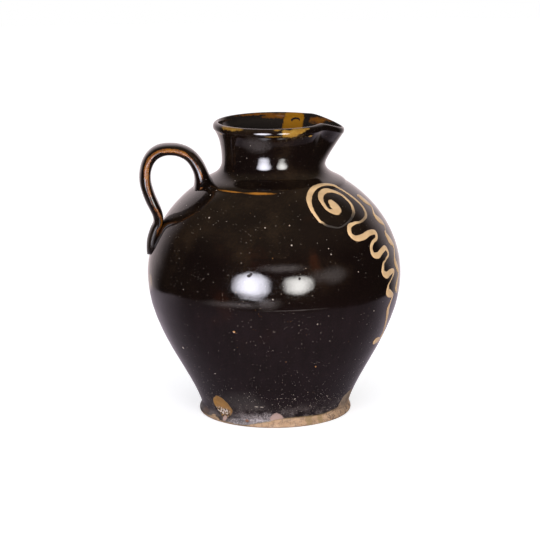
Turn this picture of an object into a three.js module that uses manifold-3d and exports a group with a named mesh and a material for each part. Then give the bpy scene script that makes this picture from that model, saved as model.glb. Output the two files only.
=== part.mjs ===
// Glazed slipware pitcher: a thrown round-bellied body with a short flared neck and a spout
// pulled from the rim, a pulled strap handle luted to the shoulder and belly, and four
// trails of pale slip, a pair on each side of the spout.
// Millimetres, +Z up. The foot rests on z = 0, the spout points along +X, the handle along -X.

import * as THREE from 'three';
import { mergeVertices } from 'three/addons/utils/BufferGeometryUtils.js';
import Module from 'manifold-3d';

const wasm = await Module();
wasm.setup();

const { clamp, degToRad, lerp, radToDeg, smoothstep } = THREE.MathUtils;

// Outside of the thrown wall. Radii are from the turning axis; each rise is the height from
// one feature of the wall to the next, counted from the foot up.
const FOOT_RADIUS = 68.3;
const FOOT_ROUND = 1;
const FOOT_RING_RISE = 1.4;
const GROOVE_DEPTH = 2.1;
const GROOVE_RISE = 5.4;
const BELLY_RADIUS = 112.4;
const BELLY_RISE = 117.2;
const RIDGE_RADIUS = 64.6;
const SHOULDER_RISE = 81.4;
const NECK_RADIUS = 45.5;
const NECK_RISE = 19.6;
const FLARE = 6.3;
const FLARE_RISE = 28.8;
const RIM_OVERHANG = 1.1;
const RIM_RISE = 3.4;
const CREST_INSET = 3.6;
const CREST_RISE = 3.5;

// Slope of the wall away from upright, in degrees
const SLOPE_ABOVE_GROOVE = 15;
const SLOPE_BELOW_RIDGE = 57.5;
const SLOPE_ABOVE_RIDGE = 29;
const SLOPE_UNDER_RIM = 33;
const SLOPE_INTO_RIM = 50;
const SLOPE_INSIDE_RIM = 4;
const SLOPE_ABOVE_FLOOR = 34;

// How far each curve holds the slope of its lower and upper end, as a share of its rise or,
// at a level end, of its width, and how many straight steps it is cut into
const LOWER_BELLY = { hold: [0.268, 0.392], steps: 8 };
const SHOULDER = { hold: [0.376, 0.456], steps: 10 };
const NECK_BASE = { hold: [0.36, 0.684], steps: 5 };
const NECK_FLARE = { hold: [0.2, 0.4], steps: 5 };
const SMALL_ROUND = { hold: [0.5, 0.5], steps: 3 };
const RIM_INSIDE = { hold: [0.45, 0.7], steps: 4 };
const FLOOR_CURVE = { hold: [0.56, 0.72], steps: 4 };

// Wall thickness, and the rounding where the inside floor meets the wall
const FOOT_WALL = 8.5;
const BELLY_WALL = 6;
const NECK_WALL = 5;
const FLOOR_THICKNESS = 8;
const FLOOR_ROUND_RISE = 12;
const FLOOR_ROUND_WIDTH = 21.6;

// Spout: the rim pulled out, down and thinner over a sector of the neck. The pull starts a
// little below the neck's narrowest place, gently, and is fuller low down than an even lean.
const SPOUT_PULL = 11.9;
const SPOUT_DROOP = 7;
const SPOUT_THINNING = 0.45;
const SPOUT_START = 5;
const SPOUT_EASE = 0.06;
const SPOUT_FULLNESS = 1.8;
const SPOUT_HALF_ANGLE = 40;
const SPOUT_PINCH = 1.2;
const SPOUT_PINCH_RISE = 0.6;
const SPOUT_PINCH_ANGLE = 36;
const SPOUT_PINCH_WIDTH = 17;

// Handle: its centre line starts inside the ridge and reaches out past the belly, and its
// rises are counted from the height of the ridge
const HANDLE_ROOT_INSET = 3.8;
const HANDLE_ROOT_SINK = 6.5;
const HANDLE_TOP_INSET = 21.3;
const HANDLE_TOP_RISE = 31.1;
const HANDLE_OVERHANG = 0.2;
const HANDLE_REACH_RISE = 6.6;
const HANDLE_ROOT_WIDTH = 32;
const HANDLE_TOP_WIDTH = 28;
const HANDLE_TAIL_WIDTH = 23;
const HANDLE_ROOT_THICKNESS = 13.2;
const HANDLE_TOP_THICKNESS = 10.4;
const HANDLE_TAIL_THICKNESS = 7.4;
const HANDLE_TAIL_START = 53;
const HANDLE_TAIL_END = 78;
const HANDLE_TAIL_LIFT = 2.8;
const HANDLE_TIP_SINK = 1.6;
const HANDLE_TIP_ROUND = 10;
const HANDLE_SEAT_GAP = 0.3;
const LUTING_SWELL = 4;
const LUTING_REACH = 20;

// Bends of the handle's centre line: its slope at the root, and how far the climb from the
// root, the bend at the top and the fall to the tail hold the slopes of their ends
const HANDLE_ROOT_SLOPE = 5;
const HANDLE_CLIMB_HOLD = [0.6, 0.66];
const HANDLE_BEND_HOLD = [0.58, 0.66];
const HANDLE_FALL_HOLD = [0.3, 0.44];

// Where along its length the handle has the sizes of its top and tail, how full its corners
// are (1 is an ellipse), and how wide its tip is against the tail. It keeps the size of its
// top until the fall share.
const HANDLE_TOP_SHARE = 0.36;
const HANDLE_FALL_SHARE = 0.7;
const HANDLE_TAIL_SHARE = 0.9;
const HANDLE_SQUARENESS = 0.8;
const HANDLE_TIP_SHARE = 0.4;

// Slip trails
const SLIP_SEAT_GAP = 0.3;
const SLIP_RELIEF = 0.7;
const SLIP_STEP = 3.6;
const SLIP_DROP = 160;
const SLIP_WIDTH = 6.4;

const BODY_SEGMENTS = 64;
const HANDLE_STATIONS = 34;
const HANDLE_TAIL_STATIONS = 5;
const HANDLE_SECTION_POINTS = 12;

// Turning points of the slip, trailed freehand: degrees round from the spout, percent of
// SLIP_DROP down the wall from the ridge, and percent of SLIP_WIDTH.
const SPIRAL_TRAIL = [
  // Spiral, from its fat centre outwards
  [55, 7.8, 53], [52.4, 10.6, 84], [51.8, 13.8, 100], [54.4, 16.2, 91], [57.9, 15.2, 72],
  [61.4, 12.6, 72], [62.8, 8.4, 81], [60, 3.8, 87], [52.5, 0.6, 87], [45.6, 1.4, 72],
  [40.5, 5.1, 59], [39.1, 10.6, 53], [40.9, 15.8, 53], [44.4, 19.3, 50], [50.8, 21.8, 37],
  [58.6, 23.1, 31], [66.6, 21.6, 47], [69.9, 17.5, 62], [71.3, 11.9, 81], [70.4, 5.7, 89],
  [64.8, -0.5, 81], [55, -3.8, 69], [44.1, -3.6, 53], [35.6, -0.1, 47], [32.2, 5.7, 47],
  [29.9, 12.3, 47], [30.1, 17.8, 50], [33.6, 21.9, 44], [40.3, 23.9, 34], [47.3, 24.2, 44],
  // Wave down the belly
  [52.3, 25.9, 69], [53.6, 29.2, 75], [51.3, 32.4, 87], [46.4, 32.7, 87], [39.3, 31.4, 81],
  [34.3, 32.4, 72], [35.3, 35.1, 50], [40.1, 36.8, 47], [43, 39.7, 56], [42.9, 43, 78],
  [39.6, 44.3, 87], [35.1, 42.8, 78], [30.6, 42.1, 69], [29.3, 44.7, 50], [33.6, 48, 28],
  [37.1, 50.4, 47], [38, 53.8, 72], [35.4, 56.1, 84], [31.2, 55.4, 78], [27, 55.6, 56],
  [28.8, 58.4, 28], [32.1, 60.6, 25], [34, 63.1, 44], [33.7, 66, 66], [30.5, 67.9, 66],
  [27.4, 69.6, 44],
  // Tail, ending in a blob
  [28.9, 72.8, 28], [30, 76.3, 31], [27.7, 82.4, 31], [24.8, 88.8, 31], [22.2, 94.4, 34],
  [24.6, 97.4, 47], [30.3, 96.6, 69], [33.6, 96.2, 53],
];
const WAVE_TRAIL = [
  [22, 9.1, 47], [19.8, 12.2, 72], [18, 16.2, 53], [19.2, 19.7, 37], [21.6, 22.7, 56],
  [20.8, 25.6, 56], [18.3, 28.7, 31], [19.9, 31.5, 28], [22.7, 34.5, 50], [21.6, 38.4, 59],
  [19.4, 42.2, 41], [21.6, 45.9, 28], [22.9, 50.3, 41], [22.6, 55, 44], [21, 59.1, 31],
  [22, 63.7, 28], [20.6, 69.4, 37],
];

// Across a trail: the share of the half width, and of the relief, at each corner
const TRAIL_SECTION = [[-1, 0], [-0.6, 0.8], [0, 1], [0.6, 0.8], [1, 0], [0, 0]];

// Most of a tight bend's radius that the inner half of a trail may take up
const INNER_BEND_SHARE = 0.85;

// The near side of the spout is -Y. The far side has the same trails, mirrored.
const SIDES = { right: -1, left: 1 };

const GLAZE = { color: new THREE.Color(0.022, 0.014, 0.011), roughness: 0.12, metalness: 0 };
const SLIP = { color: new THREE.Color(0.72, 0.52, 0.3), roughness: 0.2, metalness: 0 };

// Heights that the rises add up to
const grooveHeight = FOOT_RING_RISE + GROOVE_RISE;
const bellyHeight = grooveHeight + BELLY_RISE;
const ridgeHeight = bellyHeight + SHOULDER_RISE;
const neckHeight = ridgeHeight + NECK_RISE;
const underRimHeight = neckHeight + FLARE_RISE;
const rimHeight = underRimHeight + RIM_RISE;
const crestHeight = rimHeight + CREST_RISE;

const point = (radius, height) => new THREE.Vector2(radius, height);

// Step from `from` by `length`, `slope` degrees outwards of straight up
function lean(from, slope, length) {
  const angle = degToRad(slope);
  return point(from.x + length * Math.sin(angle), from.y + length * Math.cos(angle));
}

// Curve between two places, one above the other, each with its slope. A slope of 90 degrees
// is level, and holds along the width of the curve instead of its rise.
function curveBetween([low, lowSlope], [high, highSlope], hold) {
  const size = (slope) => (slope === 90 ? high.x - low.x : high.y - low.y);
  return new THREE.CubicBezierCurve(
    low, lean(low, lowSlope, hold[0] * size(lowSlope)),
    lean(high, highSlope, -hold[1] * size(highSlope)), high,
  );
}

// The same curve, run from its upper end to its lower end
function downwards(curve) {
  return new THREE.CubicBezierCurve(curve.v3, curve.v2, curve.v1, curve.v0);
}

// Points of a stretch of wall, from its lower end to its upper end
function stretch(low, high, { hold, steps }) {
  return curveBetween(low, high, hold).getPoints(steps);
}

// Joins stretches that end where the next one starts
function joined(stretches) {
  return stretches.flatMap((points, index) => (index === 0 ? points : points.slice(1)));
}

const sole = point(FOOT_RADIUS - FOOT_ROUND, 0);
const ring = point(FOOT_RADIUS, FOOT_RING_RISE);
const groove = point(FOOT_RADIUS - GROOVE_DEPTH, grooveHeight);
const belly = point(BELLY_RADIUS, bellyHeight);
const ridge = point(RIDGE_RADIUS, ridgeHeight);
const neck = point(NECK_RADIUS, neckHeight);
const underRim = point(NECK_RADIUS + FLARE, underRimHeight);
const rim = point(underRim.x + RIM_OVERHANG, rimHeight);
const crest = point(rim.x - CREST_INSET, crestHeight);

// Outside of the wall: the foot, the belly up to the middle of the neck and rim, the rim
const footLine = joined([
  stretch([sole, 90], [ring, 0], SMALL_ROUND),
  stretch([ring, 0], [groove, 0], SMALL_ROUND),
]);
const wallLine = joined([
  stretch([groove, SLOPE_ABOVE_GROOVE], [belly, 0], LOWER_BELLY),
  stretch([belly, 0], [ridge, -SLOPE_BELOW_RIDGE], SHOULDER),
  stretch([ridge, -SLOPE_ABOVE_RIDGE], [neck, 0], NECK_BASE),
  stretch([neck, 0], [underRim, SLOPE_UNDER_RIM], NECK_FLARE),
]);
const rimLine = joined([
  stretch([underRim, SLOPE_INTO_RIM], [rim, 0], SMALL_ROUND),
  stretch([rim, 0], [crest, 90], SMALL_ROUND),
]);
const outsideLine = joined([footLine, wallLine, rimLine]);
const ridgeIndex = wallLine.findIndex((place) => place.distanceTo(ridge) < 1e-6);

// Place on the outside wall, measured along it: `down` from the ridge towards the foot
function onWall(down) {
  const towards = down > 0 ? -1 : 1;
  let index = ridgeIndex;
  let left = Math.abs(down);
  let reach = wallLine[index].distanceTo(wallLine[index + towards]);
  while (left > reach && wallLine[index + 2 * towards]) {
    left -= reach;
    index += towards;
    reach = wallLine[index].distanceTo(wallLine[index + towards]);
  }
  const from = wallLine[index];
  const along = wallLine[index + towards].clone().sub(from).normalize();
  const downward = along.clone().multiplyScalar(-towards);
  return {
    place: from.clone().addScaledVector(along, left),
    downward,
    outward: point(-downward.y, downward.x),
  };
}

// The inside of the wall: every second point of the outside, moved in by the wall's thickness
function insidePoints() {
  const floorRoundTop = FLOOR_THICKNESS + FLOOR_ROUND_RISE;
  const wall = wallLine.map((place, index) => {
    const before = wallLine[Math.max(index - 1, 0)];
    const after = wallLine[Math.min(index + 1, wallLine.length - 1)];
    const slope = after.clone().sub(before).normalize();
    const thickness = place.y < bellyHeight
      ? lerp(FOOT_WALL, BELLY_WALL, smoothstep(place.y, grooveHeight, bellyHeight))
      : lerp(BELLY_WALL, NECK_WALL, smoothstep(place.y, bellyHeight, neckHeight));
    return point(place.x - thickness * slope.y, place.y + thickness * slope.x);
  }).filter((place, index) => place.y > floorRoundTop && index % 2 === 0);
  const low = wall[0];
  const floor = point(low.x - FLOOR_ROUND_WIDTH, FLOOR_THICKNESS);
  const inside = joined([
    stretch([floor, 90], [low, SLOPE_ABOVE_FLOOR], FLOOR_CURVE),
    wall,
    stretch([wall.at(-1), SLOPE_INSIDE_RIM], [crest, 90], RIM_INSIDE),
  ]);
  return [...inside.reverse().slice(1), point(0, FLOOR_THICKNESS)];
}

// One closed mesh with shared vertices and no empty triangles
function weld(geometry) {
  geometry.deleteAttribute('normal');
  geometry.deleteAttribute('uv');
  const merged = mergeVertices(geometry, 1e-4);
  const kept = [];
  const index = merged.index.array;
  for (let i = 0; i < index.length; i += 3) {
    const [a, b, c] = index.slice(i, i + 3);
    if (a !== b && b !== c && c !== a) kept.push(a, b, c);
  }
  merged.setIndex(kept);
  return merged;
}

// A solid turned about the Z axis, with a corner of its polygon exactly on +X
function turned(points) {
  return weld(new THREE.LatheGeometry(points, BODY_SEGMENTS).rotateX(Math.PI / 2));
}

// 1 at the middle of a bump, falling smoothly to 0 at `halfWidth` either side
function bump(offset, halfWidth) {
  return Math.abs(offset) < halfWidth ? (1 + Math.cos(Math.PI * offset / halfWidth)) / 2 : 0;
}

// How far the spout's pull has built up at a height of the neck, 1 at the crest of the rim
function pullBuiltUp(height) {
  const start = neckHeight - SPOUT_START;
  const share = clamp((height - start) / (crestHeight - start), 0, 1);
  const eased = share ** 2 * (1 + SPOUT_EASE) / (share + SPOUT_EASE);
  return 1 - (1 - eased) ** SPOUT_FULLNESS;
}

// Pulls the neck out into the spout
function pullSpout(geometry) {
  const vertices = geometry.attributes.position;
  const wallMiddle = (share) => lerp(NECK_RADIUS - NECK_WALL / 2, crest.x, share);
  const place = new THREE.Vector3();
  for (let i = 0; i < vertices.count; i += 1) {
    place.fromBufferAttribute(vertices, i);
    const share = clamp((place.z - neckHeight) / (crestHeight - neckHeight), 0, 1);
    const turn = radToDeg(Math.atan2(place.y, place.x));
    const pull = bump(turn, SPOUT_HALF_ANGLE) * pullBuiltUp(place.z);
    const pinch = bump(Math.abs(turn) - SPOUT_PINCH_ANGLE, SPOUT_PINCH_WIDTH) * share;
    const radius = Math.hypot(place.x, place.y);
    const middle = wallMiddle(share);
    const spread = (radius - middle) * (1 - SPOUT_THINNING * pull);
    const pulled = share > 0 || pull > 0
      ? middle + spread + SPOUT_PULL * pull - SPOUT_PINCH * pinch
      : radius;
    const scale = radius > 0 ? pulled / radius : 1;
    const height = place.z - SPOUT_DROOP * pull * share ** 0.5 + SPOUT_PINCH_RISE * pinch;
    vertices.setXYZ(i, place.x * scale, place.y * scale, height);
  }
  return geometry;
}

function makeBody() {
  return pullSpout(turned([point(0, 0), ...outsideLine, ...insidePoints()]));
}

// Joins rings of points, all of one count, into a solid closed by a fan at each end
function loft(rings) {
  const count = rings[0].length;
  const positions = rings.flat().flatMap((p) => p.toArray());
  const triangles = [];
  for (let ring = 0; ring < rings.length - 1; ring += 1) {
    for (let side = 0; side < count; side += 1) {
      const a = ring * count + side;
      const b = ring * count + (side + 1) % count;
      triangles.push(a, b, b + count, a, b + count, a + count);
    }
  }
  const last = (rings.length - 1) * count;
  for (let side = 1; side < count - 1; side += 1) {
    triangles.push(0, side + 1, side);
    triangles.push(last, last + side, last + side + 1);
  }
  const geometry = new THREE.BufferGeometry();
  geometry.setAttribute('position', new THREE.Float32BufferAttribute(positions, 3));
  geometry.setIndex(triangles);
  return geometry;
}

function toManifold(geometry) {
  return new wasm.Manifold(new wasm.Mesh({
    numProp: 3,
    vertProperties: geometry.attributes.position.array,
    triVerts: new Uint32Array(geometry.index.array),
  }));
}

function toGeometry(manifold) {
  const mesh = manifold.getMesh();
  const geometry = new THREE.BufferGeometry();
  geometry.setAttribute('position', new THREE.Float32BufferAttribute(mesh.vertProperties, 3));
  geometry.setIndex([...mesh.triVerts]);
  return geometry;
}

// Centre line of the handle as radius and height, from inside the shoulder to the tip of its
// tail, which lies pressed against the belly
function handleLine() {
  const root = point(RIDGE_RADIUS - HANDLE_ROOT_INSET, ridgeHeight - HANDLE_ROOT_SINK);
  const reach = point(BELLY_RADIUS + HANDLE_OVERHANG, ridgeHeight + HANDLE_REACH_RISE);
  const top = point(reach.x - HANDLE_TOP_INSET, ridgeHeight + HANDLE_TOP_RISE);
  const seat = onWall(HANDLE_TAIL_START);
  const tail = seat.place.clone().addScaledVector(seat.outward, HANDLE_TAIL_LIFT);
  const wallSlope = radToDeg(Math.atan2(-seat.downward.x, -seat.downward.y));
  const loop = new THREE.CurvePath();
  loop.add(curveBetween([root, HANDLE_ROOT_SLOPE], [top, 90], HANDLE_CLIMB_HOLD));
  loop.add(downwards(curveBetween([reach, 0], [top, 90], HANDLE_BEND_HOLD)));
  loop.add(downwards(curveBetween([tail, wallSlope], [reach, 0], HANDLE_FALL_HOLD)));
  const tailPlaces = Array.from({ length: HANDLE_TAIL_STATIONS }, (_, station) => {
    const share = (station + 1) / HANDLE_TAIL_STATIONS;
    const at = onWall(lerp(HANDLE_TAIL_START, HANDLE_TAIL_END, share));
    const lift = lerp(HANDLE_TAIL_LIFT, -HANDLE_TIP_SINK, share ** 2);
    return at.place.clone().addScaledVector(at.outward, lift);
  });
  return [...loop.getSpacedPoints(HANDLE_STATIONS), ...tailPlaces];
}

// Lengths run so far at each place of a line
function runs(line) {
  let total = 0;
  return line.map((place, index) => {
    total += index > 0 ? place.distanceTo(line[index - 1]) : 0;
    return total;
  });
}

// Size that goes from `root` to `top` to `tail` along the handle, smoothly
function tapered(root, top, tail, share) {
  return share < HANDLE_TOP_SHARE
    ? lerp(root, top, smoothstep(share, 0, HANDLE_TOP_SHARE))
    : lerp(top, tail, smoothstep(share, HANDLE_FALL_SHARE, HANDLE_TAIL_SHARE));
}

function handleSection(place, forward, width, thickness) {
  const across = point(-forward.y, forward.x);
  const flatten = (value) => Math.sign(value) * Math.abs(value) ** HANDLE_SQUARENESS;
  return Array.from({ length: HANDLE_SECTION_POINTS }, (_, corner) => {
    const angle = 2 * Math.PI * corner / HANDLE_SECTION_POINTS;
    const side = flatten(Math.cos(angle)) * width / 2;
    const rise = flatten(Math.sin(angle)) * thickness / 2;
    const at = place.clone().addScaledVector(across, rise);
    return new THREE.Vector3(-at.x, -side, at.y);
  });
}

function makeHandle() {
  const line = handleLine();
  const run = runs(line);
  const length = run.at(-1);
  const rings = line.map((place, index) => {
    const before = line[Math.max(index - 1, 0)];
    const after = line[Math.min(index + 1, line.length - 1)];
    const forward = after.clone().sub(before).normalize();
    const share = run[index] / length;
    const fromTip = clamp((length - run[index]) / HANDLE_TIP_ROUND, 0, 1);
    const tip = lerp(HANDLE_TIP_SHARE, 1, Math.sqrt(1 - (1 - fromTip) ** 2));
    const luting = 2 * LUTING_SWELL * (1 - Math.min(run[index] / LUTING_REACH, 1)) ** 2;
    const width = tapered(HANDLE_ROOT_WIDTH, HANDLE_TOP_WIDTH, HANDLE_TAIL_WIDTH, share);
    const thickness = tapered(
      HANDLE_ROOT_THICKNESS, HANDLE_TOP_THICKNESS, HANDLE_TAIL_THICKNESS, share,
    );
    return handleSection(place, forward, width * tip + luting, thickness + luting);
  });
  const seat = outsideLine
    .map((place) => point(place.x + HANDLE_SEAT_GAP, place.y + HANDLE_SEAT_GAP));
  const filledBody = turned([point(0, 0), ...seat, point(0, seat.at(-1).y)]);
  return toGeometry(toManifold(loft(rings)).subtract(toManifold(filledBody)));
}

// A trail's line: distance round the belly from the spout, distance down, and width
function trailLine(turningPoints) {
  const places = turningPoints.map(([turn, drop, width]) => new THREE.Vector3(
    degToRad(turn) * BELLY_RADIUS, SLIP_DROP * drop / 100, SLIP_WIDTH * width / 100,
  ));
  const steps = Math.round(runs(places).at(-1) / SLIP_STEP);
  return new THREE.CatmullRomCurve3(places, false, 'centripetal').getPoints(steps);
}

// Point of the wall at a turn and a distance down, lifted off it
function wallPoint(turn, down, lift, side) {
  const { place, outward } = onWall(down);
  const at = place.clone().addScaledVector(outward, lift);
  const angle = side * turn;
  return new THREE.Vector3(at.x * Math.cos(angle), at.x * Math.sin(angle), at.y);
}

// Half widths to the right and left of a trail: the inner one stops short of the centre of a
// tight bend, where the slip has flowed together
function halfWidths(before, here, after, width) {
  const half = width / 2;
  const into = here.clone().sub(before);
  const out = after.clone().sub(here);
  const bend = Math.atan2(into.cross(out), into.dot(out));
  const radius = (into.length() + out.length()) / 2 / Math.max(Math.abs(bend), 1e-6);
  const inner = Math.min(half, INNER_BEND_SHARE * radius);
  return bend > 0 ? [half, inner] : [inner, half];
}

function makeTrail(turningPoints, side) {
  const line = trailLine(turningPoints);
  const flat = line.map((at) => point(at.x / BELLY_RADIUS * onWall(at.y).place.x, at.y));
  const rings = line.map((at, index) => {
    const before = flat[Math.max(index - 1, 0)];
    const after = flat[Math.min(index + 1, line.length - 1)];
    const forward = after.clone().sub(before).normalize();
    const [rightHalf, leftHalf] = halfWidths(before, flat[index], after, at.z);
    const radius = onWall(at.y).place.x;
    return TRAIL_SECTION.map(([across, rise]) => {
      const offset = across * (across < 0 ? rightHalf : leftHalf);
      const turn = at.x / BELLY_RADIUS - offset * forward.y / radius;
      const down = at.y + offset * forward.x;
      return wallPoint(turn, down, SLIP_SEAT_GAP + rise * SLIP_RELIEF, side);
    });
  });
  return loft(side > 0 ? rings : rings.map((ring) => ring.reverse()));
}

function named(name, geometry, finish) {
  const mesh = new THREE.Mesh(mergeVertices(geometry), new THREE.MeshStandardMaterial(finish));
  mesh.name = name;
  return mesh;
}

const pitcher = new THREE.Group();
pitcher.add(named('body', makeBody(), GLAZE));
pitcher.add(named('handle', makeHandle(), GLAZE));
for (const [side, sign] of Object.entries(SIDES)) {
  pitcher.add(named(`${side}_spiral_trail`, makeTrail(SPIRAL_TRAIL, sign), SLIP));
  pitcher.add(named(`${side}_wave_trail`, makeTrail(WAVE_TRAIL, sign), SLIP));
}

export default pitcher;
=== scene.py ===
"""Looks of a glazed slipware pitcher: a thrown pot with a pulled spout and strap handle, under
a near-black lead glaze that breaks to amber where it runs thin, with trails of cream slip.
Metres, +Z up. The foot rests on z = 0, the spout points along +X, the handle along -X.
"""

import math
from collections import namedtuple

import bmesh
import bpy
from mathutils import Matrix, Vector, geometry, noise


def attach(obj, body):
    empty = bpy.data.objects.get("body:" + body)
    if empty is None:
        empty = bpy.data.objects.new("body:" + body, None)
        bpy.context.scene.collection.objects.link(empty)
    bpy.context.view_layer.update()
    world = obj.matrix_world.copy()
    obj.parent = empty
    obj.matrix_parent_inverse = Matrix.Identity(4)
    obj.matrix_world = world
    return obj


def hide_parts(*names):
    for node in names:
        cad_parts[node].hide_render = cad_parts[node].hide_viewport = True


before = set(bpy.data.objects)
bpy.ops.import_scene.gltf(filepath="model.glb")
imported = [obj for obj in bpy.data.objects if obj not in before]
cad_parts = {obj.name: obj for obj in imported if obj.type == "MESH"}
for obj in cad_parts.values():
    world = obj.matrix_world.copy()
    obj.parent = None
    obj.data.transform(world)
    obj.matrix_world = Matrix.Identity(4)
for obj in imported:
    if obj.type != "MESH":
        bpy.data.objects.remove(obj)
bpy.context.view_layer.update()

# Outside of the wall. Radii are from the turning axis, rises from one feature to the next.
FOOT_RADIUS = 0.0683
FOOT_ROUND = 0.001
FOOT_RING_RISE = 0.0014
GROOVE_DEPTH = 0.0021
GROOVE_RISE = 0.0054
BELLY_RADIUS = 0.1124
BELLY_RISE = 0.1172
RIDGE_RADIUS = 0.0646
SHOULDER_RISE = 0.0814
NECK_RADIUS = 0.0455
NECK_RISE = 0.0196
FLARE = 0.0063
FLARE_RISE = 0.0288
RIM_OVERHANG = 0.0011
RIM_RISE = 0.0034
CREST_INSET = 0.0036
CREST_RISE = 0.0035

# Slope of the wall away from upright, in degrees
SLOPE_ABOVE_GROOVE = 15
SLOPE_BELOW_RIDGE = 57.5
SLOPE_ABOVE_RIDGE = 29
SLOPE_UNDER_RIM = 33
SLOPE_INTO_RIM = 50
SLOPE_INSIDE_RIM = 4
SLOPE_ABOVE_FLOOR = 34

# How far each curve holds the slope of its lower and upper end
LOWER_BELLY_HOLD = (0.268, 0.392)
SHOULDER_HOLD = (0.376, 0.456)
NECK_BASE_HOLD = (0.36, 0.684)
NECK_FLARE_HOLD = (0.2, 0.4)
SMALL_ROUND_HOLD = (0.5, 0.5)
RIM_INSIDE_HOLD = (0.45, 0.7)
FLOOR_HOLD = (0.56, 0.72)

FOOT_WALL = 0.0085
BELLY_WALL = 0.006
NECK_WALL = 0.005
FLOOR_THICKNESS = 0.008
FLOOR_ROUND_RISE = 0.012
FLOOR_ROUND_WIDTH = 0.0216

SPOUT_PULL = 0.0119
SPOUT_DROOP = 0.007
SPOUT_THINNING = 0.45
SPOUT_START = 0.005
SPOUT_EASE = 0.06
SPOUT_FULLNESS = 1.8
SPOUT_HALF_ANGLE = 40
SPOUT_PINCH = 0.0012
SPOUT_PINCH_RISE = 0.0006
SPOUT_PINCH_ANGLE = 36
SPOUT_PINCH_WIDTH = 17

# The rim isn't level: how far it sinks opposite its high side, and where that side is
RIM_SINK = 0.00185
RIM_HIGH_SIDE = 65

HANDLE_ROOT_INSET = 0.0038
HANDLE_ROOT_SINK = 0.0065
HANDLE_TOP_INSET = 0.0213
HANDLE_TOP_RISE = 0.0311
HANDLE_OVERHANG = 0.0002
HANDLE_REACH_RISE = 0.0066
HANDLE_WIDTHS = (0.032, 0.028, 0.023)
HANDLE_THICKNESSES = (0.0132, 0.0101, 0.0074)
HANDLE_TAIL_START = 0.053
HANDLE_TAIL_END = 0.078
HANDLE_TAIL_LIFT = 0.0028
HANDLE_TIP_SINK = 0.0016
HANDLE_TIP_ROUND = 0.010
HANDLE_TIP_SHARE = 0.4
LUTING_SWELL = 0.004
LUTING_REACH = 0.020
HANDLE_ROOT_SLOPE = 5
HANDLE_CLIMB_HOLD = (0.6, 0.66)
HANDLE_BEND_HOLD = (0.58, 0.66)
HANDLE_FALL_HOLD = (0.3, 0.44)
HANDLE_TOP_SHARE = 0.36
HANDLE_FALL_SHARE = 0.7
HANDLE_TAIL_SHARE = 0.9

# How full the strap's section is: 1 for an oval, less for a flatter face with sharper edges
STRAP_BACK_FULLNESS = 0.8
STRAP_INSIDE_FULLNESS = 0.62

# Unevenness of the pulled strap: how closely its waves follow each other, and how high
STRAP_WAVES = ((60, 0.0004), (160, 0.00015))

SLIP_DROP = 0.160
SLIP_WIDTH = 0.0064
SLIP_RELIEF = 0.0007

# How closely the pieces are modelled
BODY_SEGMENTS = 192
BASE_RINGS = 24
FLOOR_RINGS = 18
WALL_STEP = 0.0024
ROUND_STEP = 0.0008
HANDLE_STEP = 0.0018
HANDLE_CORNERS = 28
SLIP_STEP = 0.0011
SHARP_ANGLE = 40
TINY = 1e-6

# Uneven throwing: how far the wall lies inside its true circle, at most, by its swells and by
# the rings of the thrower's fingers, and how closely these follow each other
UNEVEN = 0.0005
THROWING_RING = 0.00012
SWELL_GRAIN = 22
SMALL_SWELL_GRAIN = 55
RING_GRAIN = (4, 4, 190)

# Turning points of the slip: degrees round from the spout, percent of SLIP_DROP down the wall
# from the ridge, percent of SLIP_WIDTH, and percent of the slip that stayed on the wall
SPIRAL_TRAIL = [
    (53.6, 7.4, 70, 100), (53.6, 9.6, 150, 100), (54, 11.8, 196, 100), (55, 13.6, 178, 96),
    (57.2, 15, 104, 70), (59.6, 14, 66, 74), (61.4, 10.6, 74, 95), (61.2, 6.2, 84, 100),
    (58.4, 2.6, 87, 100), (52.5, 0.6, 87, 100), (45.6, 1.4, 72, 100), (40.5, 5.1, 59, 100),
    (39.1, 10.6, 53, 95), (40.9, 15.8, 50, 60), (44.4, 19.3, 42, 22), (50.8, 22.6, 26, 0),
    (58.8, 25.0, 22, 0), (64.2, 23.6, 30, 6), (67.6, 21.2, 44, 42), (69.9, 17.5, 62, 92),
    (71.3, 11.9, 81, 100), (70.4, 5.7, 89, 100),
    (64.8, -0.5, 81, 100), (55, -3.8, 69, 100), (44.1, -3.6, 53, 100), (35.6, -0.1, 47, 100),
    (32.2, 5.7, 47, 95), (29.9, 12.3, 47, 85), (30.1, 17.8, 50, 60), (33.6, 21.9, 44, 45),
    (40.3, 23.9, 34, 40), (47.3, 24.2, 44, 80),
    (52.3, 25.9, 69, 100), (53.6, 29.2, 75, 100), (51.3, 32.4, 87, 100), (46.4, 32.7, 87, 100),
    (39.3, 31.4, 81, 100), (34.3, 32.4, 72, 100), (35.3, 35.1, 50, 100), (40.1, 36.8, 47, 95),
    (43, 39.7, 56, 100), (42.9, 43, 78, 100), (39.6, 44.3, 87, 100), (35.1, 42.8, 78, 100),
    (30.6, 42.1, 69, 100), (29.3, 44.7, 50, 100), (33.6, 48, 26, 60), (37.1, 50.4, 47, 95),
    (38, 53.8, 76, 100), (35.4, 56.1, 94, 100), (31.2, 55.4, 84, 100), (27, 55.6, 60, 100),
    (28.8, 58.4, 28, 80), (32.1, 60.6, 25, 60), (34, 63.1, 56, 90), (33.7, 66, 112, 100),
    (30.5, 67.9, 100, 100), (27.4, 69.6, 46, 95),
    (28.9, 72.8, 44, 90), (30, 76.3, 80, 95), (27.7, 82.4, 70, 95), (24.8, 88.8, 54, 90),
    (22.4, 94.2, 54, 90), (24.6, 96.8, 78, 95), (30.3, 96.2, 112, 100), (33.8, 96, 84, 100),
]
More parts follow.
